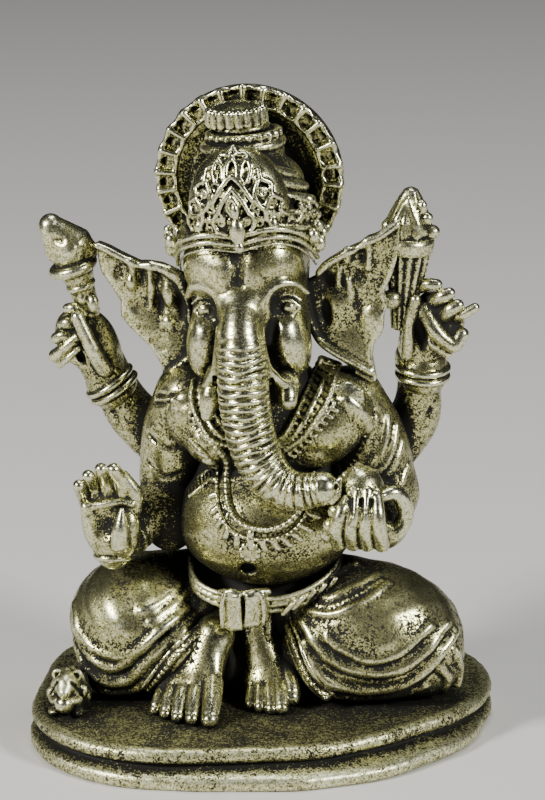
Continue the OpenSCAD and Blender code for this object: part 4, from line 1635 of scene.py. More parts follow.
        strand([(u - 0.15, v - 0.1) for u, v in outline[9:22]], 0.24, 0.1)
        if side > 0:
            strand([(18.0, 16.7), (16.4, 15.7), (15.3, 15.2), (14.5, 15.0), (13.4, 14.2), (12.1, 13.8),
                    (10.8, 13.1),
                    (9.4, 12.3), (8.5, 11.3), (7.8, 10.2), (7.5, 8.7), (7.7, 6.8), (7.2, 4.6), (7.6, 2.9),
                    (8.9, 1.8),
                    (10.5, 0.8), (12.3, -0.4), (14.0, -1.4)],
                   (0.42, 0.4, 0.45, 0.5, 0.42, 0.5, 0.45, 0.5, 0.5), 0.3)
            lump((10.4, 7.0), (2.0, 1.0, 2.4), blend=0.8)
            lump((8.9, 6.6), (0.7, 0.9, 1.7), True)
            lump((9.4, 10.4), (0.9, 0.8, 1.0), True)
            strand([(6.6, 9.4), (6.9, 6.0), (7.9, 3.3), (9.6, 1.8), (11.6, 0.6), (13.7, -0.8)],
                   (0.3, 0.45, 0.5, 0.5, 0.45, 0.35), 0.3)
            strand([(14.5, 15.0), (14.6, 13.6), (14.3, 11.7)], (0.4, 0.3, 0.45), 0.25)
            lump((13.6, 13.0), (0.5, 0.6, 1.0), True)
            lump((13.3, 10.4), (1.0, 0.7, 1.2), True)
            strand([(12.1, 14.0), (11.9, 12.6)], (0.5, 0.3), 0.2)
            strand([(11.0, 11.9), (10.6, 9.9), (11.2, 9.0)], 0.28, 0.2)
            strand([(11.9, 10.4), (12.0, 8.6), (11.7, 7.4)], (0.35, 0.45, 0.5), 0.3)
            for x in (11.3, 11.6):
                clay.cut(rope([(x, -0.4, 11.4), (x - 0.1, -0.2, 9.4)], 0.13), 0.1)
            lump((14.4, 5.0), (1.2, 0.5, 1.8), blend=0.8)
        else:
            strand([(18.0, 15.5), (16.6, 14.9), (15.0, 14.0), (14.0, 13.5), (13.0, 13.0), (11.8, 13.0),
                    (10.3, 12.6),
                    (8.8, 11.9), (7.7, 11.2)], (0.4, 0.42, 0.42, 0.48, 0.42, 0.5, 0.6, 0.65, 0.6), 0.3)
            strand([(9.4, 12.2), (8.3, 10.9), (7.6, 9.0), (7.4, 6.4), (6.7, 4.7)],
                   (0.6, 0.55, 0.5, 0.45, 0.35), 0.3)
            strand([(6.2, 3.2), (8.1, 1.3), (10.1, 0.0), (11.4, -1.0)], (0.55, 0.5, 0.45, 0.35), 0.35)
            strand([(14.0, 13.5), (13.9, 12.2)], (0.42, 0.3), 0.3)
            lump((14.2, 10.9), (0.7, 0.8, 1.1))
            strand([(11.6, 13.0), (11.9, 11.4), (11.9, 10.0), (12.2, 7.8)], (0.48, 0.3, 0.45, 0.3), 0.25)
            lump((9.8, 9.4), (0.95, 0.9, 1.7), blend=0.5)
            lump((10.2, 5.8), (0.8, 0.7, 0.9), blend=0.6)
            lump((8.4, 7.6), (0.75, 1.0, 1.7), True)
            for at, radii in (((15.6, 12.4), (0.9, 0.7, 1.2)), ((12.9, 11.4), (0.6, 0.8, 1.2)),
                              ((10.9, 11.2), (0.55, 0.8, 1.1)),
                              ((11.0, 8.0), (0.5, 0.7, 1.2)), ((13.6, 8.2), (1.2, 0.6, 1.2)),
                              ((11.6, 3.6), (1.6, 0.5, 1.4))):
                lump(at, radii, True)
        name = "left_ear" if side > 0 else "right_ear"
        shop.from_clay(name, clay, Finish.WORN, soften=1, painted_light_bias=-0.05)

    def build(self, shop: Workshop) -> None:
        """Make the head.

        Args:
            shop: Where it is made.
        """
        self.face(shop)
        self.trunk(shop)
        self.tusks(shop)
        self.ear(shop, 1)
        self.ear(shop, -1)


# ---- crown and halo --------------------------------------------------------------------------


@dataclass(frozen=True)
class Crown:
    """The tall crown: brow bands, rolls of turban, a beaded cap, and a leaf-shaped crest with a gem."""

    pose: Pose = Head.pose

    def clay(self, low: Point, high: Point, grain: float) -> Clay:
        """Set out a block of clay round a box in the head's own axes.

        Args:
            low: The box's lowest corner.
            high: The box's highest corner.
            grain: The grid's step.

        Returns:
            The clay, whose forms are given in the head's own axes.
        """
        corners = self.pose.out([[(low, high)[i][0], (low, high)[j][1], (low, high)[k][2]]
                                 for i in (0, 1) for j in (0, 1) for k in (0, 1)])
        return Clay(tuple(corners.min(0)), tuple(corners.max(0)), grain, self.pose)

    def ring(self, z: float, across: float, deep: float, radius: float, tilt: float = 0.0, count: int = 28,
             shift: float = 0.0) -> list[Form]:
        """A roll that runs round the crown.

        Args:
            z: Its height above the neck.
            across: Its half width.
            deep: Its half depth.
            radius: Radius of its section.
            tilt: How much higher it is on the figure's left, as a slope.
            count: Number of bars.
            shift: How far its middle stands to the figure's left.

        Returns:
            The roll.
        """
        angles = np.linspace(0, 2 * math.pi, count + 1)
        points = [(shift + across * math.cos(t), 0.5 + deep * math.sin(t), z + tilt * across * math.cos(t))
                  for t in angles]
        return [bar(p, q, radius) for p, q in zip(points[:-1], points[1:])]

    def bands(self, shop: Workshop) -> None:
        """Make the doubled bands over the brow."""
        clay = self.clay((-10.5, -9.5, 13), (10.8, 9, 20.5), 0.16)
        brow = [(-7.9, -1.6, 13.4), (-7.3, -4.0, 15.2), (-6.1, -5.9, 16.4), (-4.4, -7.1, 17.1),
                (-2.6, -7.5, 17.3),
                (-0.8, -7.5, 17.1), (0.5, -7.4, 16.9), (1.8, -7.5, 17.2), (3.6, -7.4, 17.6),
                (5.6, -6.6, 17.5),
                (7.2, -4.8, 16.6), (8.2, -2.6, 15.0), (8.6, -0.6, 13.4)]
        clay.add(rope(brow, 0.3))
        clay.add(rope([(x * 0.97, y + 0.1, z - 0.85) for x, y, z in brow], 0.17))
        clay.add(rope([(x * 1.01, y + 0.1, z + 0.85) for x, y, z in brow], 0.34))
        clay.add(self.ring(16.6, 7.2, 6.0, 1.0), 0.3)
        for s in (-1, 1):
            for x, y, z, r in ((8.5, -3.0, 16.6, 0.75), (8.9, -2.2, 17.6, 0.6), (8.8, -1.6, 15.4, 0.8),
                               (9.2, -1.2, 16.5, 0.6)):
                clay.add(egg((s * x + 0.3, y, z), (r, r, r * 1.3)), 0.15)
        shop.from_clay("headband", clay, Finish.WORN, painted_light_bias=-0.05)

    def turban(self, shop: Workshop) -> None:
        """Make the crown's rolls and wraps."""
        clay = self.clay((-9.4, -9.5, 14.5), (10.4, 8, 29.9), 0.18)
        clay.add(egg((0.8, 0.8, 18.8), (7.4, 6.4, 4.8)))
        clay.add(egg((0.9, 0.7, 22.4), (6.5, 5.7, 3.8)), 0.8)
        clay.add(egg((0.8, 0.5, 25.8), (4.6, 4.2, 3.4)), 0.6)
        clay.add(egg((0.9, 0.5, 27.4), (4.4, 3.9, 1.7)), 0.2)
        clay.add(self.ring(27.1, 4.5, 4.0, 0.62, 0.03, shift=0.6), 0.1)
        clay.add(self.ring(26.2, 4.3, 3.9, 0.35, 0.02, shift=0.8), 0.1)
        clay.add(self.ring(28.35, 3.9, 3.5, 0.5, 0.0, shift=0.8), 0.1)
        clay.add(self.ring(29.2, 3.0, 2.9, 0.35, 0.0, shift=0.6), 0.1)
        for k in range(20):
            t = 2 * math.pi * k / 20
            clay.add(egg((0.8 + 4.3 * math.cos(t), 0.5 + 3.9 * math.sin(t), 28.35), (0.34, 0.34, 0.5)), 0.1)
        # diagonal wraps on the figure's left, hatched lower down
        for k, (z, reach) in enumerate(((25.0, 5.6), (23.6, 6.4), (22.0, 7.1), (20.2, 7.6), (18.4, 7.9))):
            wrap = [(1.6 + 0.3 * k, -5.6 - 0.1 * k, z + 0.5), (3.8 + 0.3 * k, -4.4 - 0.2 * k, z + 0.1),
                    (0.8 + reach, -1.2, z - 1.4), (0.9 + reach, 2.0, z - 2.2)]
            clay.add(rope(wrap, (0.35, 0.6, 0.65, 0.5)), 0.3)
        for k in range(11):
            x, z = 3.6 + 0.5 * k, 23.2 - 0.42 * k
            clay.cut(rope([(x, -6.4 + 0.5 * k, z + 0.4), (x + 0.5, -6.0 + 0.5 * k, z - 1.0),
                                      (x + 0.7, -5.5 + 0.5 * k, z - 2.8)], 0.26), 0.1)
        rng = np.random.default_rng(9)
        for _ in range(46):
            t = rng.uniform(-1.15, -0.1)
            x, y, z = 0.8 + 7.9 * math.cos(t), 0.8 + 6.9 * math.sin(t), rng.uniform(16.6, 20.6)
            clay.add(egg((x, y, z), (0.45, 0.45, 0.38 + 0.2 * rng.random())), 0.1)
        shop.from_clay("crown", clay, Finish.WORN)

    def cap(self, shop: Workshop) -> None:
        """Make the beaded cap on its narrow neck."""
        clay = self.clay((-5.6, -5.2, 27.4), (6.4, 6.2, 32.6), 0.15)
        at = (0.1, 0.5)
        clay.add(turned([(0, 0), (2.3, 0), (2.3, 1.4), (3.1, 1.9), (3.1, 2.8), (0, 2.9)], (*at, 28.0),
                        (*at, 31.0), 0.15))
        for k in range(19):
            t = 2 * math.pi * k / 19
            x, y = at[0] + 3.3 * math.cos(t), at[1] + 3.1 * math.sin(t)
            clay.add(bar((x, y, 29.8), (x * 0.97, y * 0.97, 31.2), 0.5, 0.5), 0.12)
        clay.add(egg((at[0], at[1], 31.0), (3.2, 3.1, 1.2)), 0.3)
        shop.from_clay("crown_cap", clay, Finish.POLISHED)

    def crest(self, shop: Workshop) -> None:
        """Make the crest of scrolls, and the drop-shaped gem at its foot."""
        clay = self.clay((-7.4, -10.2, 16.8), (8.0, -1.0, 29.8), 0.14)
        clay.add(egg((0.4, -3.4, 20.4), (6.0, 4.2, 7.4)))
        clay.cut(egg((0.4, 1.6, 20.0), (6.6, 6.2, 8.6)), 0.2)
        scallops = [(5.9, 18.2), (6.3, 19.4), (5.6, 20.5), (5.8, 21.6), (4.8, 22.5), (4.7, 23.7),
                    (3.7, 24.4), (3.4, 25.6),
                    (2.5, 26.0), (1.9, 27.0), (1.0, 27.1), (0.4, 27.8)]
        borders = (scallops, [(2.7, 22.0), (2.0, 23.2), (1.2, 24.2), (0.4, 24.9)],
                   [(2.2, 20.8), (1.6, 22.0), (0.4, 23.6)],
                   [(3.4, 24.2), (3.0, 22.6), (3.6, 21.2), (4.6, 20.4)],
                   [(4.9, 22.4), (4.2, 21.4), (4.2, 19.6), (5.2, 18.6)],
                   [(1.1, 24.6), (1.0, 26.0), (0.4, 26.9)],
                   [(1.4, 24.6), (1.5, 25.8), (2.1, 26.6), (2.6, 25.4), (2.3, 24.2)],
                   [(0.4, 20.4), (1.0, 21.4), (0.4, 22.6)],
                   [(1.4, 18.2), (2.4, 18.6), (2.8, 19.8), (2.2, 20.8)])
        curls = ((4.9, 19.5, 0.72), (4.7, 21.3, 0.5), (3.9, 22.8, 0.5), (2.9, 24.9, 0.42), (3.1, 21.2, 0.62),
                 (3.3, 19.4, 0.62), (1.9, 19.6, 0.5), (1.6, 22.9, 0.4))
        rng = np.random.default_rng(17)
        for _ in range(150):
            t, r = rng.uniform(-1.5, 1.5), rng.uniform(1.6, 8.2)
            x, z = 0.4 + 0.72 * r * math.sin(t), 18.4 + r * math.cos(t)
            way = t + rng.normal() * 0.8
            stroke = self.laid([(x, z), (x + 0.4 * math.sin(way), z + 0.55 * math.cos(way))])
            if rng.random() < 0.6:
                clay.cut(rope(stroke, 0.24, 1), 0.08)
            else:
                clay.add(rope([(a, b - 0.05, c) for a, b, c in stroke], 0.2, 1), 0.05)
        for s in (-1, 1):
            for path in borders:
                laid = self.laid([(s * (x - 0.4) + 0.4, z) for x, z in path])
                clay.cut(rope([(x, y, z - 0.5) for x, y, z in laid], 0.26, 1), 0.1)
            for x, z, r in curls:
                clay.cut(egg(self.laid([(s * (x - 0.4) + 0.4, z), (s * x, z)])[0], (r, 0.5, r)), 0.1)
            for path in borders:
                laid = self.laid([(s * (x - 0.4) + 0.4, z) for x, z in path])
                clay.add(rope([(x, y - 0.1, z) for x, y, z in laid], 0.3, 1), 0.05)
            for x, z, r in curls:
                turns = np.linspace(0.4, 9.0, 11)
                spots = self.laid([(s * (x - 0.4 + r * (1.1 - 0.085 * t) * math.cos(t)) + 0.4,
                                    z + r * (1.1 - 0.085 * t) * math.sin(t))
                                   for t in turns])
                clay.add(rope(spots, 0.2, 1), 0.04)
        clay.add(beads(self.laid([(s, 24.9 - 0.9 * abs(s - 0.4)) for s in (-1.0, 0.4, 1.8)]), 0.3, 0.9), 0.1)
        clay.add([egg((s * 4.3 + 0.4, -6.2, 18.8), (0.7, 0.7, 1.1)) for s in (-1, 1)], 0.1)
        shop.from_clay("crown_crest", clay, Finish.POLISHED, soften=0)
        clay = self.clay((-1.6, -10.2, 15.6), (3.4, -5.6, 21.8), 0.13)
        clay.add(egg((0.8, -7.9, 18.6), (0.95, 0.75, 1.6)))
        clay.add(egg((0.7, -7.9, 21.0), (0.55, 0.6, 1.0)), 0.15)
        clay.add(egg((0.9, -8.0, 16.7), (0.55, 0.5, 0.7)), 0.15)
        shop.from_clay("crest_jewel", clay, Finish.POLISHED, painted_light_bias=0.1)

    def laid(self, path: Sequence[tuple[float, float]]) -> list[Point]:
        """Lay a path, given in the head's own axes, on the front of the domed crest.

        Args:
            path: Points as (x, z).

        Returns:
            Points along the path in the head's own axes.
        """
        out = []
        for x, z in smooth_path(path, 4):
            share = min(((x - 0.4) / 6.0) ** 2 + ((z - 20.4) / 7.4) ** 2, 0.95)
            out.append((float(x), float(-3.4 - 4.2 * math.sqrt(1 - share) - 0.05), float(z)))
        return out

    def halo(self, shop: Workshop) -> None:
        """Make the hollow disc behind the crown, and its ribbed rim."""
        bm = bmesh.new()
        profile = [(0.0, 6.0), (3.0, 6.0), (5.4, 5.9), (7.4, 5.6), (8.6, 5.3), (10.2, 5.4), (10.5, 5.9),
                   (10.4, 6.5),
                   (9.8, 6.8), (6.0, 6.9), (0.0, 6.9)]
        rows = []
        for (r0, y0), (r1, y1) in zip(profile[:-1], profile[1:]):
            steps = max(1, round(math.hypot(r1 - r0, y1 - y0) / 0.35))
            rows += [(r0 + (r1 - r0) * k / steps, y0 + (y1 - y0) * k / steps) for k in range(steps)]
        rows.append(profile[-1])
        chain = [bm.verts.new((r, y + 0.05 * math.sin(3.6 * r) * (y < 6.2), 0)) for r, y in rows]
        edges = [bm.edges.new(pair) for pair in zip(chain[:-1], chain[1:])]
        bmesh.ops.spin(bm, geom=chain + edges, cent=(0, 0, 0), axis=(0, 1, 0), angle=2 * math.pi, steps=144,
                       use_merge=True)
        bmesh.ops.remove_doubles(bm, verts=bm.verts, dist=1e-4)
        turn = Matrix(self.pose.matrix().tolist()).to_4x4()
        bmesh.ops.transform(bm,
                            matrix=Matrix.Translation(self.pose.origin) @ turn @ Matrix.Translation((0.1, 0,
                                                                                                     21.9)),
                            verts=bm.verts)
        shop.from_bmesh("halo_dish", bm, Finish.SHADED,
                        shadow=[egg((0.1, 6.9, 21.9), (10.6, 1.3, 10.6)).posed(self.pose)])
        clay = self.clay((-12.6, 1.6, 9.4), (12.8, 8.2, 34.4), 0.17)
        centre = (0.1, 0.0, 21.9)
        turns = np.linspace(0, 2 * math.pi, 97)

        def round_rim(reach: Callable[[float], float], y: float) -> list[Point]:
            """Points round the halo."""
            return [(centre[0] + reach(t) * math.cos(t), y, centre[2] + reach(t) * math.sin(t))
                    for t in turns]

        def strand(points: Sequence[Point], radius: float) -> list[Form]:
            """Bars between neighbouring points."""
            return [bar(p, q, radius) for p, q in zip(points[:-1], points[1:])]

        clay.add(strand(round_rim(lambda t: 9.9, 6.0), 0.7)).add(strand(round_rim(lambda t: 10.5, 5.8),
                                                                        0.75), 0.2)
        clay.add(strand(round_rim(lambda t: 8.95, 4.9), 0.42),
                 0.15).add(strand(round_rim(lambda t: 9.0, 5.5), 0.42), 0.1)
        clay.add(strand(round_rim(lambda t: 10.7 + 0.4 * abs(math.sin(13 * t)), 4.9), 0.36), 0.12)
        # the halo's back is closed by a shallow dome
        clay.add(egg((centre[0], 6.75, centre[2]), (10.0, 0.65, 10.0)), 0.2)
        rng = np.random.default_rng(5)
        for k in range(26):
            t = 2 * math.pi * (k + 0.5) / 26 + rng.normal() * 0.012
            c, s = math.cos(t), math.sin(t)
            inner, outer = 9.0, 10.95 + rng.normal() * 0.08
            clay.add(bar((centre[0] + inner * c, 4.6, centre[2] + inner * s),
                                    (centre[0] + outer * c, 4.65, centre[2] + outer * s), 0.27, 0.42), 0.12)
            u = t + math.pi / 26
            clay.cut(egg((centre[0] + 9.9 * math.cos(u), 4.7, centre[2] + 9.9 * math.sin(u)),
                                    (0.62, 1.5, 0.9), (0, 90 - math.degrees(u), 0)), 0.1)
        shop.from_clay("halo_ring", clay, Finish.POLISHED)

    def build(self, shop: Workshop) -> None:
        """Make the crown and the halo.

        Args:
            shop: Where they are made.
        """
        self.bands(shop)
        self.turban(shop)
        self.cap(shop)
        self.crest(shop)
        self.halo(shop)


# ---- arms ------------------------------------------------------------------------------------


@dataclass(frozen=True)
class FrontArms:
    """The raised open hand on the figure's right, and the draped arm that holds a sweet on its left."""

    finger: float = 0.8

    def right(self, shop: Workshop) -> None:
        """Make the right arm, from the shoulder to the raised palm."""
        clay = Clay((-17, -4.6, 24.5), (-4.6, 6.5, 46), 0.2)
        clay.add(rope([(-9.2, 1.4, 41.0), (-10.8, 1.5, 36.5), (-11.8, 1.6, 30.6)], (3.8, 3.9, 3.4)))
        clay.add(egg((-8.8, 0.4, 40.8), (3.8, 3.9, 4.2)), 1.5)
        for path in (((-12.6, 41.6), (-10.4, 42.2), (-8.0, 42.0)),
                     ((-12.8, 40.6), (-10.6, 41.2), (-8.2, 41.0)),
                     ((-13.6, 36.6), (-11.4, 35.4), (-9.0, 35.8)),
                     ((-13.8, 33.2), (-11.8, 31.8), (-9.6, 32.2))):
            clay.cut(rope(clay.laid(path, 0.0), 0.2, 1), 0.35)
        clay.add(beads(clay.laid(((-12.7, 41.1), (-10.5, 41.7), (-8.2, 41.5)), 0.05), 0.24, 0.6), 0.1)
        clay.add(hoop((-12.9, -1.6, 37.4), (-0.3, -1, 0.1), 0.5, 0.14), 0.1)
        shop.from_clay("right_upper_arm", clay, Finish.POLISHED, soften=2)
        clay = Clay((-20, -9.5, 21.5), (-7.5, 4.5, 33), 0.2)
        clay.add(rope([(-11.8, 1.0, 29.2), (-13.6, -2.2, 26.6), (-16.4, -5.2, 24.4)], (3.1, 2.7, 2.2)))
        for share in (0.72, 0.82):
            at = (-16.4 + 5.0 * (1 - share), -5.2 + 6.2 * (1 - share), 24.4 + 4.4 * (1 - share))
            clay.add(hoop(at, (-0.55, -0.7, -0.4), 2.5, 0.3), 0.2)
        clay.add(egg((-11.2, -0.6, 26.2), (3.4, 3.0, 4.2)), 0.6)
        # the dark SHADED brass gives the sleeve's cloth its dark tone and paints the shade between the palm
        # and the belly
        shop.from_clay("right_forearm", clay, Finish.SHADED)
        clay = Clay((-23, -12, 21.5), (-11.8, -3.4, 37), 0.14)
        clay.add(egg((-17.4, -6.6, 27.0), (3.4, 1.7, 4.2)))
        clay.add(bar((-17.2, -6.0, 23.3), (-17.2, -6.2, 25.4), 2.1, 2.6), 0.8)
        clay.add(egg((-15.4, -7.3, 26.2), (1.6, 1.4, 3.0), (0, 6, 0)), 0.6)
        clay.add(egg((-19.7, -7.3, 27.3), (1.0, 1.3, 3.0), (0, -10, 0)), 0.6)
        clay.cut(egg((-17.9, -9.5, 27.5), (1.6, 1.5, 1.9)), 0.7)
        clay.add(rope([(-20.2, -7.8, 29.5), (-18.2, -8.0, 29.9), (-16.0, -8.0, 30.3), (-14.6, -7.8, 30.0)],
                      0.35), 0.9)
        for path, radius in (
            (((-20.0, -6.6, 28.8), (-20.6, -6.7, 30.6), (-20.9, -8.0, 32.1)), 0.86),
            (((-18.9, -6.6, 29.6), (-19.4, -6.6, 31.6), (-19.75, -8.2, 33.4)), 0.88),
            (((-17.5, -6.6, 29.8), (-17.9, -6.6, 32.2), (-18.2, -8.2, 34.3)), 0.9),
            (((-15.7, -6.8, 29.6), (-15.8, -7.0, 32.2), (-16.7, -8.2, 34.3)), 0.95),
        ):
            digit(clay, path, radius, 0.12)
        clay.add(rope([(-14.7, -6.6, 29.2), (-14.5, -6.8, 31.0), (-15.6, -7.2, 33.2)], (1.1, 1.0, 0.7)), 0.25)
        clay.cut(egg((-17.9, -9.3, 31.3), (2.3, 1.4, 1.0), (0, -6, 0)), 0.3)
        for x, z in ((-20.1, 31.6), (-18.7, 32.6), (-17.3, 32.9)):
            clay.cut(rope([(x + 0.15, -8.3, z - 1.6), (x, -8.3, z + 0.4), (x - 0.15, -8.8, z + 1.6)], 0.17),
                     0.1)
        clay.add(rope([(-15.9, -8.8, 25.4), (-15.8, -9.3, 27.2), (-15.6, -9.2, 29.7)], (1.2, 1.0, 0.3)), 0.2)
        clay.add(hoop((-17.2, -6.0, 22.9), (0.0, 0.1, 1.0), 2.1, 0.4), 0.1)
        shop.from_clay("right_hand", clay, Finish.POLISHED, painted_light_bias=0.1)

    def sleeve(self, shop: Workshop) -> None:
        """Make the draped upper arm on the figure's left."""
        clay = Clay((5.5, -6, 22.5), (20.6, 8, 46), 0.2)
        clay.add(rope([(10.2, 1.4, 41.0), (12.8, 1.8, 35.6), (14.2, 1.8, 29.6)], (4.2, 4.4, 4.2)))
        clay.add(bar((14.3, 1.4, 29.6), (14.2, -0.5, 26.6), 4.1, 3.4), 1.0)
        for path, radius in (
            (((13.6, 40.0), (13.0, 37.6), (12.2, 35.4), (11.0, 33.4)), 0.34),
            (((15.0, 40.0), (14.9, 37.4), (14.0, 35.0), (12.8, 33.4)), 0.3),
            (((16.0, 38.6), (15.7, 36.2), (14.8, 34.2), (13.6, 32.8)), 0.32),
            (((16.7, 36.6), (16.2, 34.6), (15.2, 33.0)), 0.28),
            (((17.4, 33.6), (16.6, 31.6), (15.6, 30.4)), 0.26),
        ):
            Fold(path, radius, -0.08).press(clay, 0.4)
        clay.add(beads(clay.laid(((13.0, 40.2), (12.4, 37.8), (11.6, 35.6), (10.4, 33.6)), 0.12), 0.27, 0.8),
                 0.06)
        shop.from_clay("left_sleeve", clay, Finish.WORN)

    def left(self, shop: Workshop) -> None:
        """Make the left forearm and the hand that holds the sweet."""
        clay = Clay((8, -10.5, 23.5), (20, 4, 34.5), 0.2)
        clay.add(rope([(14.4, 0.2, 29.2), (14.4, -3.6, 28.8), (13.6, -6.6, 29.4)], (3.3, 3.2, 2.9)))
        for y, radius in ((-2.6, 0.55), (-4.2, 0.5), (-5.6, 0.5)):
            clay.add(hoop((14.3 + 0.15 * y * 0.2, y, 28.9), (0.05, -1, 0.1), 3.1, radius), 0.35)
        shop.from_clay("left_forearm", clay, Finish.WORN)
        clay = Clay((6.5, -14.6, 24), (20.4, -4.8, 36.4), 0.15)
        clay.add(egg((12.8, -9.2, 28.4), (4.0, 2.7, 2.3)))
        for x0, x1, top in ((10.2, 11.1, 32.6), (11.9, 12.5, 33.6), (13.6, 13.6, 33.8), (15.3, 14.7, 33.2)):
            knuckle = (0.5 * (x0 + x1), -12.4, 31.4)
            bent = ((x0, -10.8, 27.2), (x0 - 0.1, -12.3, 29.2), knuckle, (x1, -11.3, top))
            digit(clay, bent, 0.86, 0.15)
        for x0, x1 in ((11.0, 11.8), (12.7, 13.05), (14.4, 14.15)):
            clay.cut(rope([(x0, -12.6, 27.4), (x0, -13.4, 29.2), (x1, -13.2, 31.4), (x1, -12.2, 33.0)], 0.3),
                     0.15)
        for x, y, z in ((8.9, -10.9, 28.2), (9.3, -11.6, 29.6), (9.9, -11.8, 31.4)):
            clay.add(egg((x, y, z), (0.85, 0.85, 0.95)), 0.25)
        loop = [(15.2, -10.4, 33.0), (16.6, -9.6, 33.2), (17.6, -8.6, 31.8), (17.7, -8.4, 29.8),
                (16.8, -9.0, 28.2), (15.2, -9.6, 27.6)]
        clay.add(rope(loop, (0.7, 0.85, 1.0, 1.05, 1.0, 0.9)), 0.3)
        clay.cut(bar((16.2, -10.8, 30.6), (16.0, -6.4, 30.2), 0.85), 0.3)
        shop.from_clay("left_hand", clay, Finish.POLISHED, painted_light_bias=0.05)
        clay = Clay((9, -12.4, 29.6), (16, -5.4, 36.9), 0.17)
        clay.add(egg((12.6, -9.0, 33.4), (2.75, 2.75, 2.75)))
        rng = np.random.default_rng(3)
        for _ in range(26):
            way = rng.normal(size=3)
            spot = np.array((12.6, -9.0, 33.4)) + way / np.linalg.norm(way) * 2.65
            clay.add(egg(tuple(spot), (0.4, 0.4, 0.4)), 0.2)
        shop.from_clay("sweet", clay, Finish.WORN)

    def build(self, shop: Workshop) -> None:
        """Make both arms.

        Args:
            shop: Where they are made.
        """
        self.right(shop)
        self.sleeve(shop)
        self.left(shop)


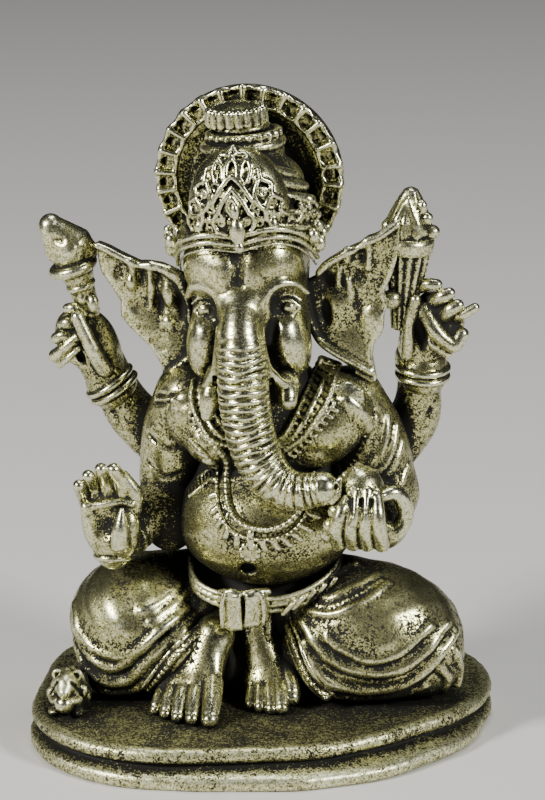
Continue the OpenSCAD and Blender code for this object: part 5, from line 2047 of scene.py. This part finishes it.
@dataclass(frozen=True)
class BackArms:
    """The two raised back arms, with a lotus bud and a banded, pointed emblem in their hands."""

    def arm(self, shop: Workshop, side: str, path: Sequence[Point], cuff: Point, way: Point,
            reach: float) -> None:
        """Make an arm and its bracelet.

        Args:
            shop: Where they are made.
            side: "right" or "left".
            path: From the root to the wrist.
            cuff: The bracelet's middle.
            way: The direction through it.
            reach: Its radius.
        """
        low, high = np.min(path, 0) - 4.2, np.max(path, 0) + (4.0, 4.0, 2.8)
        clay = Clay(tuple(low), tuple(high), 0.22).add(rope(path, (3.4, 3.1, 2.6, 2.4)))
        mid = path[1]
        sign = -1 if side == "right" else 1
        clay.cut(rope([(mid[0] + sign * 2.4, mid[1] - 2.6, mid[2] + 2),
                       (mid[0] + sign * 1.0, mid[1] - 3.4, mid[2] - 1.5)], 0.3), 0.6)
        shop.from_clay(f"{side}_back_arm", clay, Finish.WORN, soften=2)
        clay = Clay(tuple(np.array(cuff) - 5.0), tuple(np.array(cuff) + 5.0), 0.16)
        step = np.array(way) / np.linalg.norm(way)
        for off in (-0.55, 0.5):
            clay.add(hoop(tuple(np.array(cuff) + off * step), way, reach, 0.42), 0.15)
        clay.add(bar(tuple(np.array(cuff) - 0.5 * step), tuple(np.array(cuff) + 0.5 * step), reach - 0.05),
                 0.1)
        shop.from_clay(f"{side}_back_bracelet", clay, Finish.POLISHED, painted_light_bias=0.05)

    def right_hand(self, shop: Workshop) -> None:
        """Make the right back hand and the bud that it holds."""
        clay = Clay((-27.4, -1.2, 41.6), (-16.4, 8.4, 54.4), 0.16)
        clay.add(egg((-21.2, 4.2, 46.4), (3.1, 2.2, 4.4), (0, -24, 0)))
        clay.add(egg((-22.9, 3.4, 47.0), (2.6, 1.6, 3.6), (0, -16, 0)), 0.5)
        clay.add(bar((-19.8, 4.6, 42.8), (-20.6, 4.4, 45.0), 2.7, 2.8), 0.6)
        clay.cut(egg((-22.4, 1.6, 45.2), (0.6, 1.3, 1.4), (0, -30, 0)), 0.3)
        for path, radius in (
            (((-22.0, 2.8, 50.4), (-23.0, 2.2, 51.0), (-23.8, 2.4, 50.9)), 0.72),
            (((-22.4, 2.6, 48.8), (-23.6, 2.1, 49.2), (-24.4, 2.3, 49.0)), 0.8),
            (((-22.8, 2.6, 47.0), (-24.2, 2.1, 47.6), (-25.2, 2.3, 47.2)), 0.82),
            (((-25.4, 2.6, 44.9), (-24.2, 1.9, 46.0), (-22.6, 1.9, 47.5)), 0.8),
            (((-24.8, 2.5, 43.8), (-23.8, 1.7, 44.8), (-22.4, 1.8, 46.2)), 0.42),
            (((-19.4, 2.2, 43.6), (-20.6, 1.2, 46.2), (-22.4, 1.2, 50.2)), 0.95),
        ):
            digit(clay, path, radius, 0.12)
        shop.from_clay("right_back_hand", clay, Finish.WORN)
        clay = Clay((-29.2, -2.2, 49.2), (-16.4, 7.4, 63.8), 0.15)
        clay.add(bar((-23.5, 3.0, 58.5), (-25.7, 2.6, 61.0), 2.75, 1.45))
        clay.add(bar((-23.4, 3.0, 58.2), (-21.4, 3.0, 58.0), 2.5, 1.3), 0.4)
        clay.add(bar((-25.4, 2.2, 57.6), (-26.0, 2.0, 60.4), 0.9, 0.8), 0.6)
        clay.cut(egg((-24.7, 0.1, 59.8), (1.2, 0.9, 0.6), (0, 10, 0)), 0.35)
        clay.cut(rope([(-22.9, 0.6, 60.2), (-22.0, 0.4, 58.6), (-22.4, 0.6, 57.0)], 0.2), 0.3)
        clay.cut(slab(55.9), 0.3)
        clay.add(bar((-23.2, 3.2, 56.6), (-22.8, 3.2, 55.4), 2.2, 2.0), 0.3)
        clay.add(hoop((-23.2, 3.2, 55.9), (-0.3, -0.1, 0.95), 2.3, 0.72), 0.3)
        clay.add(bar((-22.6, 3.3, 54.6), (-21.4, 3.6, 50.4), 1.7, 1.3), 0.4)
        clay.add(hoop((-22.3, 3.3, 53.6), (-0.3, -0.1, 0.95), 1.5, 0.35), 0.2)
        clay.add(egg((-20.7, 2.2, 51.6), (0.75, 0.7, 1.2)),
                 0.2).add(egg((-22.0, 2.2, 52.2), (0.5, 0.5, 0.7)), 0.15)
        shop.from_clay("lotus_bud", clay, Finish.WORN)

    def left_hand(self, shop: Workshop) -> None:
        """Make the left back hand and the emblem that it holds."""
        clay = Clay((13.4, -2.0, 43.2), (27.0, 8.4, 56.4), 0.16)
        clay.add(egg((18.9, 4.2, 48.8), (3.0, 2.3, 4.6), (0, 16, 0)))
        clay.add(egg((20.8, 3.2, 51.6), (3.2, 1.5, 2.2), (0, 38, 0)),
                 0.5).add(egg((21.4, 3.0, 48.8), (2.2, 1.6, 2.2)), 0.5)
        clay.add(bar((18.2, 4.8, 44.8), (18.2, 4.6, 47.0), 2.5, 2.4), 0.6)
        for path, radius in (
            (((18.4, 2.6, 54.9), (19.4, 1.8, 55.4), (20.4, 1.8, 55.4)), 0.78),
            (((20.0, 2.4, 53.2), (21.0, 1.7, 54.0), (21.9, 1.7, 54.4)), 0.84),
            (((21.2, 2.4, 51.4), (22.0, 1.7, 52.4), (22.9, 1.7, 53.0)), 0.86),
            (((22.0, 2.8, 51.2), (23.4, 2.0, 51.8), (24.9, 2.0, 52.7)), 0.66),
            (((18.8, 2.2, 52.2), (20.4, 1.4, 49.8), (22.4, 1.4, 48.2), (23.4, 1.9, 49.4)), 1.0),
            (((18.2, 2.4, 50.8), (19.6, 1.4, 48.6), (21.8, 1.6, 47.0)), 0.6),
            (((16.9, 2.6, 46.6), (17.2, 1.6, 50.6), (17.9, 1.5, 53.6)), 0.78),
        ):
            digit(clay, path, radius, 0.12)
        clay.cut(egg((18.6, 1.4, 49.0), (0.8, 1.3, 2.2), (0, -12, 0)), 0.3)
        shop.from_clay("left_back_hand", clay, Finish.POLISHED)
        clay = Clay((11.6, -2.2, 48.8), (22.4, 7.2, 68.2), 0.16)
        base, tip = (16.2, 3.0, 49.8), (17.2, 2.4, 66.6)
        clay.add(turned([(0, 0), (1.2, 0), (1.5, 3.2), (2.1, 6.0), (2.6, 8.8), (2.7, 9.6), (0, 9.7)], base,
                        tip, 0.2, 14, 0.4))
        clay.add(turned([(0, 9.6), (2.75, 9.6), (2.95, 10.0), (2.95, 10.8), (2.7, 11.2), (0, 11.3)], base,
                        tip, 0.2))
        clay.add(turned([(0, 11.0), (2.4, 11.0), (2.7, 12.0), (2.5, 13.2), (1.9, 14.6), (1.3, 15.8),
                         (0.7, 16.8), (0, 17.1)],
                        base, tip, 0.2, 9, 0.3), 0.1)
        clay.add(egg((19.7, 2.0, 61.7), (1.0, 0.9, 0.9)), 0.2).add(egg((14.6, 2.2, 62.2), (0.9, 0.8, 0.9)),
                                                                   0.3)
        clay.add(egg((19.2, 1.6, 63.4), (0.7, 0.7, 0.8)), 0.2).add(egg((18.6, 1.4, 64.8), (0.6, 0.6, 0.9)),
                                                                   0.2)
        clay.add(rope([(14.4, 1.2, 61.6), (15.6, 0.4, 63.2), (16.6, 1.2, 65.2)], 0.4), 0.2)
        clay.add(rope([(18.9, 1.0, 61.8), (17.8, 0.6, 63.4), (17.0, 1.2, 65.6)], 0.4), 0.2)
        clay.add(hoop((16.8, 2.7, 59.4), (1.0, -0.6, 16.8), 2.75, 0.3), 0.05)
        clay.add(egg((15.1, 1.2, 53.6), (1.2, 1.1, 1.2)), 0.2)
        shop.from_clay("conch", clay, Finish.WORN)

    def build(self, shop: Workshop) -> None:
        """Make both back arms.

        Args:
            shop: Where they are made.
        """
        self.arm(shop, "right",
                 [(-12.3, 6.0, 33.0), (-16.6, 6.0, 37.0), (-18.4, 5.4, 40.4), (-19.6, 5.0, 43.4)],
                 (-19.0, 5.0, 40.9), (-0.55, -0.1, 0.85), 2.95)
        self.arm(shop, "left", [(14.0, 6.0, 33.0), (17.4, 6.0, 37.6), (18.1, 5.4, 41.6), (17.6, 5.0, 45.6)],
                 (18.6, 4.9, 44.0), (0.05, -0.1, 1.0), 2.95)
        self.right_hand(shop)
        self.left_hand(shop)


# ---- ornaments -------------------------------------------------------------------------------


@dataclass(frozen=True)
class Ornaments:
    """The ladder collar, the long garland with its rosette, and the tassels on the shoulders."""

    strand: float = 0.34

    def ladder(self, torso: Clay, clay: Clay, inner: Sequence[tuple[float, float]],
               outer: Sequence[tuple[float, float]], count: int) -> None:
        """Lay a ladder of rungs between two beaded strands.

        Args:
            torso: What it lies on.
            clay: Where it is added.
            inner: The inner strand as (x, z).
            outer: The outer strand as (x, z).
            count: Number of rungs.
        """
        a, b = torso.laid(inner, 0.25), torso.laid(outer, 0.25)
        middle = [(0.5 * (p[0] + q[0]), 0.5 * (p[1] + q[1])) for p, q in zip(inner, outer)]
        clay.add(rungs(torso.laid(inner, 0.0), torso.laid(outer, 0.0), 0.5, count))
        clay.add(rungs([(x, y - 0.3, z) for x, y, z in a], [(x, y - 0.3, z) for x, y, z in b], 0.22, count),
                 0.05)
        for line in (inner, middle, outer):
            clay.add(rope(torso.laid(line, 0.5), self.strand, 1))
        clay.add(beads(torso.laid(outer, 0.75), 0.26, 0.62), 0.05)

    def collar(self, shop: Workshop, torso: Clay) -> None:
        """Make the collar."""
        clay = Clay((-10.5, -10, 34.5), (11.5, 2, 48), 0.15)
        self.ladder(torso, clay, ((7.0, 46.4), (5.9, 44.0), (4.8, 41.4), (3.6, 38.9), (2.2, 37.6)),
                    ((9.0, 45.8), (8.5, 43.2), (7.2, 40.9), (5.4, 38.4), (3.4, 36.7)), 15)
        self.ladder(torso, clay, ((-6.0, 45.2), (-6.0, 43.0), (-5.4, 40.8), (-3.8, 38.8), (-2.0, 37.8)),
                    ((-8.0, 44.6), (-7.9, 42.2), (-7.0, 40.0), (-5.2, 37.9), (-2.6, 36.6)), 13)
        for k in range(9):
            x, z = 8.4 - 0.62 * k, 42.6 - 0.72 * k
            path = torso.laid(((x - 0.2, z + 0.2), (x + 0.6, z - 0.2), (x + 0.3, z - 0.8),
                               (x + 1.0, z - 1.1)), 0.3)
            clay.add(rope(path, 0.24, 1), 0.05)
        for k in range(7):
            x, z = -7.6 + 0.6 * k, 41.4 - 0.62 * k
            clay.add(rope(torso.laid(((x, z), (x - 0.5, z - 0.8), (x - 0.4, z - 1.4)), 0.2), 0.24, 1), 0.05)
        shop.from_clay("collar", clay, Finish.WORN, painted_light_bias=0.3, soften=0)

    def garland(self, shop: Workshop, torso: Clay) -> None:
        """Make the garland and its rosette."""
        clay = Clay((-9.5, -11.6, 21.5), (10, -2, 41), 0.15)
        path = ((-6.4, 38.6), (-5.0, 37.2), (-3.9, 35.2), (-3.8, 32.6), (-3.2, 30.2), (-1.8, 28.5),
                (0.6, 27.8),
                (2.8, 28.0), (4.6, 29.0), (5.8, 31.0), (6.4, 33.2))
        clay.add(rope(torso.laid(path, 0.1), 0.5, 1)).add(beads(torso.laid(path, 0.5), 0.38, 0.78), 0.06)
        outer = [(x * 1.16 - 0.5, z - 1.0 - 0.3 * (z < 30)) for x, z in path]
        clay.add(rope(torso.laid(outer, 0.05), 0.3, 1), 0.1).add(beads(torso.laid(outer, 0.3), 0.27, 0.6),
                                                                 0.05)
        drops = smooth_path(outer, 4)[5:]
        for x, z in drops[::2]:
            way = np.array((x + 0.2, z - 33.0))
            way /= np.linalg.norm(way)
            tip = (x + 1.5 * way[0] + 0.3, z + 1.5 * way[1])
            points = torso.laid(((x, z), ((x + tip[0]) / 2, (z + tip[1]) / 2), tip), 0.15)
            clay.add(rope(points, [0.3] + [0.42] * (len(points) - 3) + [0.32, 0.16], 1), 0.04)
        band = [((-8.8, 30.6), (-5.6, 33.4)), ((-8.4, 29.8), (-5.2, 32.6))]
        clay.add([f for line in band for f in rope(torso.laid(line, 0.15), 0.26, 1)])
        for k in range(8):
            x, z = -8.6 + 0.42 * k, 30.2 + 0.37 * k
            clay.add(rope(torso.laid(((x - 0.15, z + 0.35), (x + 0.25, z - 0.4)), 0.2), 0.18, 1), 0.04)
        shop.from_clay("garland", clay, Finish.WORN, painted_light_bias=0.08, soften=0)
        clay = Clay((-3.4, -11.6, 22.2), (2.4, -5.5, 28.0), 0.13)
        at = (-0.5, torso.front(-0.5, 24.9), 24.9)
        clay.add(egg((at[0], at[1] + 0.2, at[2]), (1.35, 0.75, 1.3)))
        for k in range(9):
            t = 2 * math.pi * k / 9 + 0.2
            spot = (at[0] + 0.98 * math.cos(t), at[1] - 0.2 + 0.3 * (1 - math.sin(t)) * 0.3,
                    at[2] + 0.98 * math.sin(t))
            clay.add(egg(spot, (0.42, 0.4, 0.42)), 0.04)
            clay.cut(bar((at[0] + 0.3 * math.cos(t + 0.35), at[1] - 0.75, at[2] + 0.3 * math.sin(t + 0.35)),
                         (at[0] + 1.3 * math.cos(t + 0.35), at[1] - 0.55, at[2] + 1.3 * math.sin(t + 0.35)),
                         0.1), 0.05)
        clay.add(rope([(at[0], at[1] - 0.1, at[2] + 1.4), (at[0] + 0.1, at[1] - 0.1, at[2] + 2.4)], 0.45),
                 0.1)
        shop.from_clay("pendant", clay, Finish.POLISHED, painted_light_bias=0.1, soften=0)

    def fringes(self, shop: Workshop) -> None:
        """Make the tassels on the shoulders."""
        for name, at, side in (("right_shoulder_fringe", (-8.6, -3.4, 41.0), -1),
                               ("left_shoulder_fringe", (10.4, -3.2, 42.8), 1)):
            clay = Clay((at[0] - 3.8, at[1] - 3.6, at[2] - 4.4), (at[0] + 3.8, at[1] + 3.6, at[2] + 3.6),
                        0.15)
            clay.add(egg(at, (2.0, 0.9, 1.9), (0, side * 25, 0)))
            for k in range(7):
                t = math.radians(-10 - 17 * k)
                root = (at[0] - side * 1.3, at[1] - 0.4, at[2] + 1.3)
                tip = (root[0] + side * 3.0 * math.cos(t), at[1] - 0.35 + 0.1 * k * 0,
                       root[2] + 3.0 * math.sin(t))
                clay.add(bar(root, tip, 0.2, 0.34), 0.06)
            shop.from_clay(name, clay, Finish.POLISHED, painted_light_bias=0.05, soften=0)

    def build(self, shop: Workshop, torso: Clay) -> None:
        """Make the ornaments.

        Args:
            shop: Where they are made.
            torso: The torso's clay, which they lie on.
        """
        self.collar(shop, torso)
        self.garland(shop, torso)
        self.fringes(shop)


# ---- mouse -----------------------------------------------------------------------------------


@dataclass(frozen=True)
class Mouse:
    """The small mouse that sits on the plinth with a sweet in its paws."""

    x: float = -22.2
    floor: float = 4.4

    def build(self, shop: Workshop) -> None:
        """Make the mouse.

        Args:
            shop: Where it is made.
        """
        x, z = self.x, self.floor
        clay = Clay((x - 3.6, -15, z - 0.4), (x + 3.6, -5.2, z + 7), 0.15)
        clay.add(egg((x, -9.2, z + 2.3), (2.4, 3.0, 2.6))).add(egg((x, -11.4, z + 4.0), (1.5, 1.9, 1.5)), 0.7)
        clay.add(egg((x, -13.0, z + 3.5), (0.8, 0.9, 0.7)), 0.5)
        clay.add([egg((x + s * 1.2, -10.7, z + 4.9), (0.7, 0.4, 0.7)) for s in (-1, 1)], 0.3)
        clay.cut([egg((x + s * 1.2, -11.1, z + 4.9), (0.4, 0.3, 0.4)) for s in (-1, 1)], 0.2)
        for s in (-1, 1):
            clay.add(rope([(x + s * 1.6, -10.4, z + 2.8), (x + s * 1.5, -12.0, z + 2.2),
                           (x + s * 0.8, -12.9, z + 2.3)], 0.5), 0.2)
            clay.add(egg((x + s * 1.4, -11.6, z + 0.6), (0.8, 1.2, 0.6)), 0.2)
            clay.add(egg((x + s * 0.75, -12.5, z + 4.3), (0.25, 0.2, 0.25)), 0.05)
        rng = np.random.default_rng(21)
        for _ in range(40):
            way = rng.normal(size=3)
            way /= np.linalg.norm(way)
            clay.add(egg((x + 2.2 * way[0], -9.6 + 2.8 * way[1], z + 2.4 + 2.3 * way[2]), (0.55, 0.5, 0.7)),
                     0.35)
        clay.cut([rope([(x + s * 0.9, -12.6, z + 4.6), (x + s * 1.7, -11.6, z + 3.0),
                        (x + s * 1.9, -11.2, z + 1.0)], 0.25)[k]
                  for s in (-1, 1) for k in range(12)], 0.2)
        clay.cut(slab(z - 0.1))
        shop.from_clay("mouse", clay, Finish.SHADED)
        clay = Clay((x - 1.6, -14.6, z + 0.2), (x + 1.6, -11.4, z + 3.6), 0.15)
        clay.add(egg((x, -13.0, z + 2.0), (1.15, 1.15, 1.15)))
        shop.from_clay("mouse_sweet", clay, Finish.POLISHED)


# ---- studio ----------------------------------------------------------------------------------


@dataclass(frozen=True)
class Studio:
    """A plain pale floor, soft lights, and the camera."""

    azimuth: float = 7.0
    elevation: float = 16.5
    distance: float = 0.44
    lens: float = 167.9
    target: Point = (0.0015, -0.003, 0.042)

    def floor(self) -> None:
        """Lay the floor."""
        bm = bmesh.new()
        bmesh.ops.create_grid(bm, x_segments=1, y_segments=1, size=2.0)
        mesh = bpy.data.meshes.new("floor")
        bm.to_mesh(mesh)
        bm.free()
        piece = bpy.data.objects.new("floor", mesh)
        bpy.context.collection.objects.link(piece)
        nodes = Nodes("floor_paper")
        shader = nodes.node("BsdfPrincipled", Base_Color=(0.62, 0.60, 0.57, 1.0), Roughness=0.9)
        nodes.node("OutputMaterial", Surface=shader.outputs[0])
        mesh.materials.append(nodes.material)

    def light(self, name: str, place: Point, size: float, power: float,
              colour: Point = (1.0, 1.0, 1.0)) -> None:
        """Hang a soft square light that faces the figurine.

        Args:
            name: Its name.
            place: Where it hangs, in metres.
            size: Its side, in metres.
            power: Its power in watts.
            colour: Its colour.
        """
        data = bpy.data.lights.new(name, "AREA")
        data.shape, data.size, data.energy, data.color = "SQUARE", size, power, colour
        lamp = bpy.data.objects.new(name, data)
        lamp.location = place
        lamp.rotation_euler = (Vector(self.target) - Vector(place)).to_track_quat("-Z", "Y").to_euler()
        bpy.context.collection.objects.link(lamp)

    def build(self) -> None:
        """Set up the studio."""
        self.floor()
        self.light("key", (-0.42, -0.36, 0.34), 0.12, 5.2, (1.0, 1.0, 0.97))
        self.light("fill", (0.48, -0.26, 0.34), 0.11, 3.6, (0.98, 1.0, 1.0))
        self.light("top", (0.02, 0.06, 0.60), 0.16, 1.3, (0.95, 0.98, 1.0))
        world = bpy.data.worlds.new("studio")
        world.use_nodes = True
        world.node_tree.nodes["Background"].inputs["Color"].default_value = (0.8, 0.85, 0.9, 1.0)
        world.node_tree.nodes["Background"].inputs["Strength"].default_value = 0.02
        bpy.context.scene.world = world
        a, e = math.radians(self.azimuth), math.radians(self.elevation)
        data = bpy.data.cameras.new("camera")
        data.lens, data.sensor_width = self.lens, 36.0
        camera = bpy.data.objects.new("camera", data)
        back = Vector((math.sin(a) * math.cos(e), -math.cos(a) * math.cos(e), math.sin(e)))
        camera.location = Vector(self.target) + self.distance * back
        camera.rotation_euler = back.to_track_quat("Z", "Y").to_euler()
        bpy.context.collection.objects.link(camera)
        bpy.context.scene.camera = camera


def main() -> None:
    """Build the figurine and its studio."""
    logging.basicConfig(level=logging.INFO, format="%(message)s", force=True)
    shop = Workshop()
    shop.stand("plinth")
    Plinth().build(shop)
    shop.stand("dhoti_seat")
    LowerBody().build(shop)
    shop.stand("torso")
    torso = Torso().build(shop)
    Ornaments().build(shop, torso)
    shop.stand("head")
    Head().build(shop)
    shop.stand("crown")
    Crown().build(shop)
    shop.stand("right_upper_arm")
    FrontArms().build(shop)
    shop.stand("right_back_arm")
    BackArms().build(shop)
    shop.stand("mouse")
    Mouse().build(shop)
    shop.patinate_and_paint_shade()
    Studio().build()
    LOG.info("%d pieces, %d faces", len(shop.made), sum(len(m.piece.data.polygons) for m in shop.made))


if __name__ == "__main__":
    main()
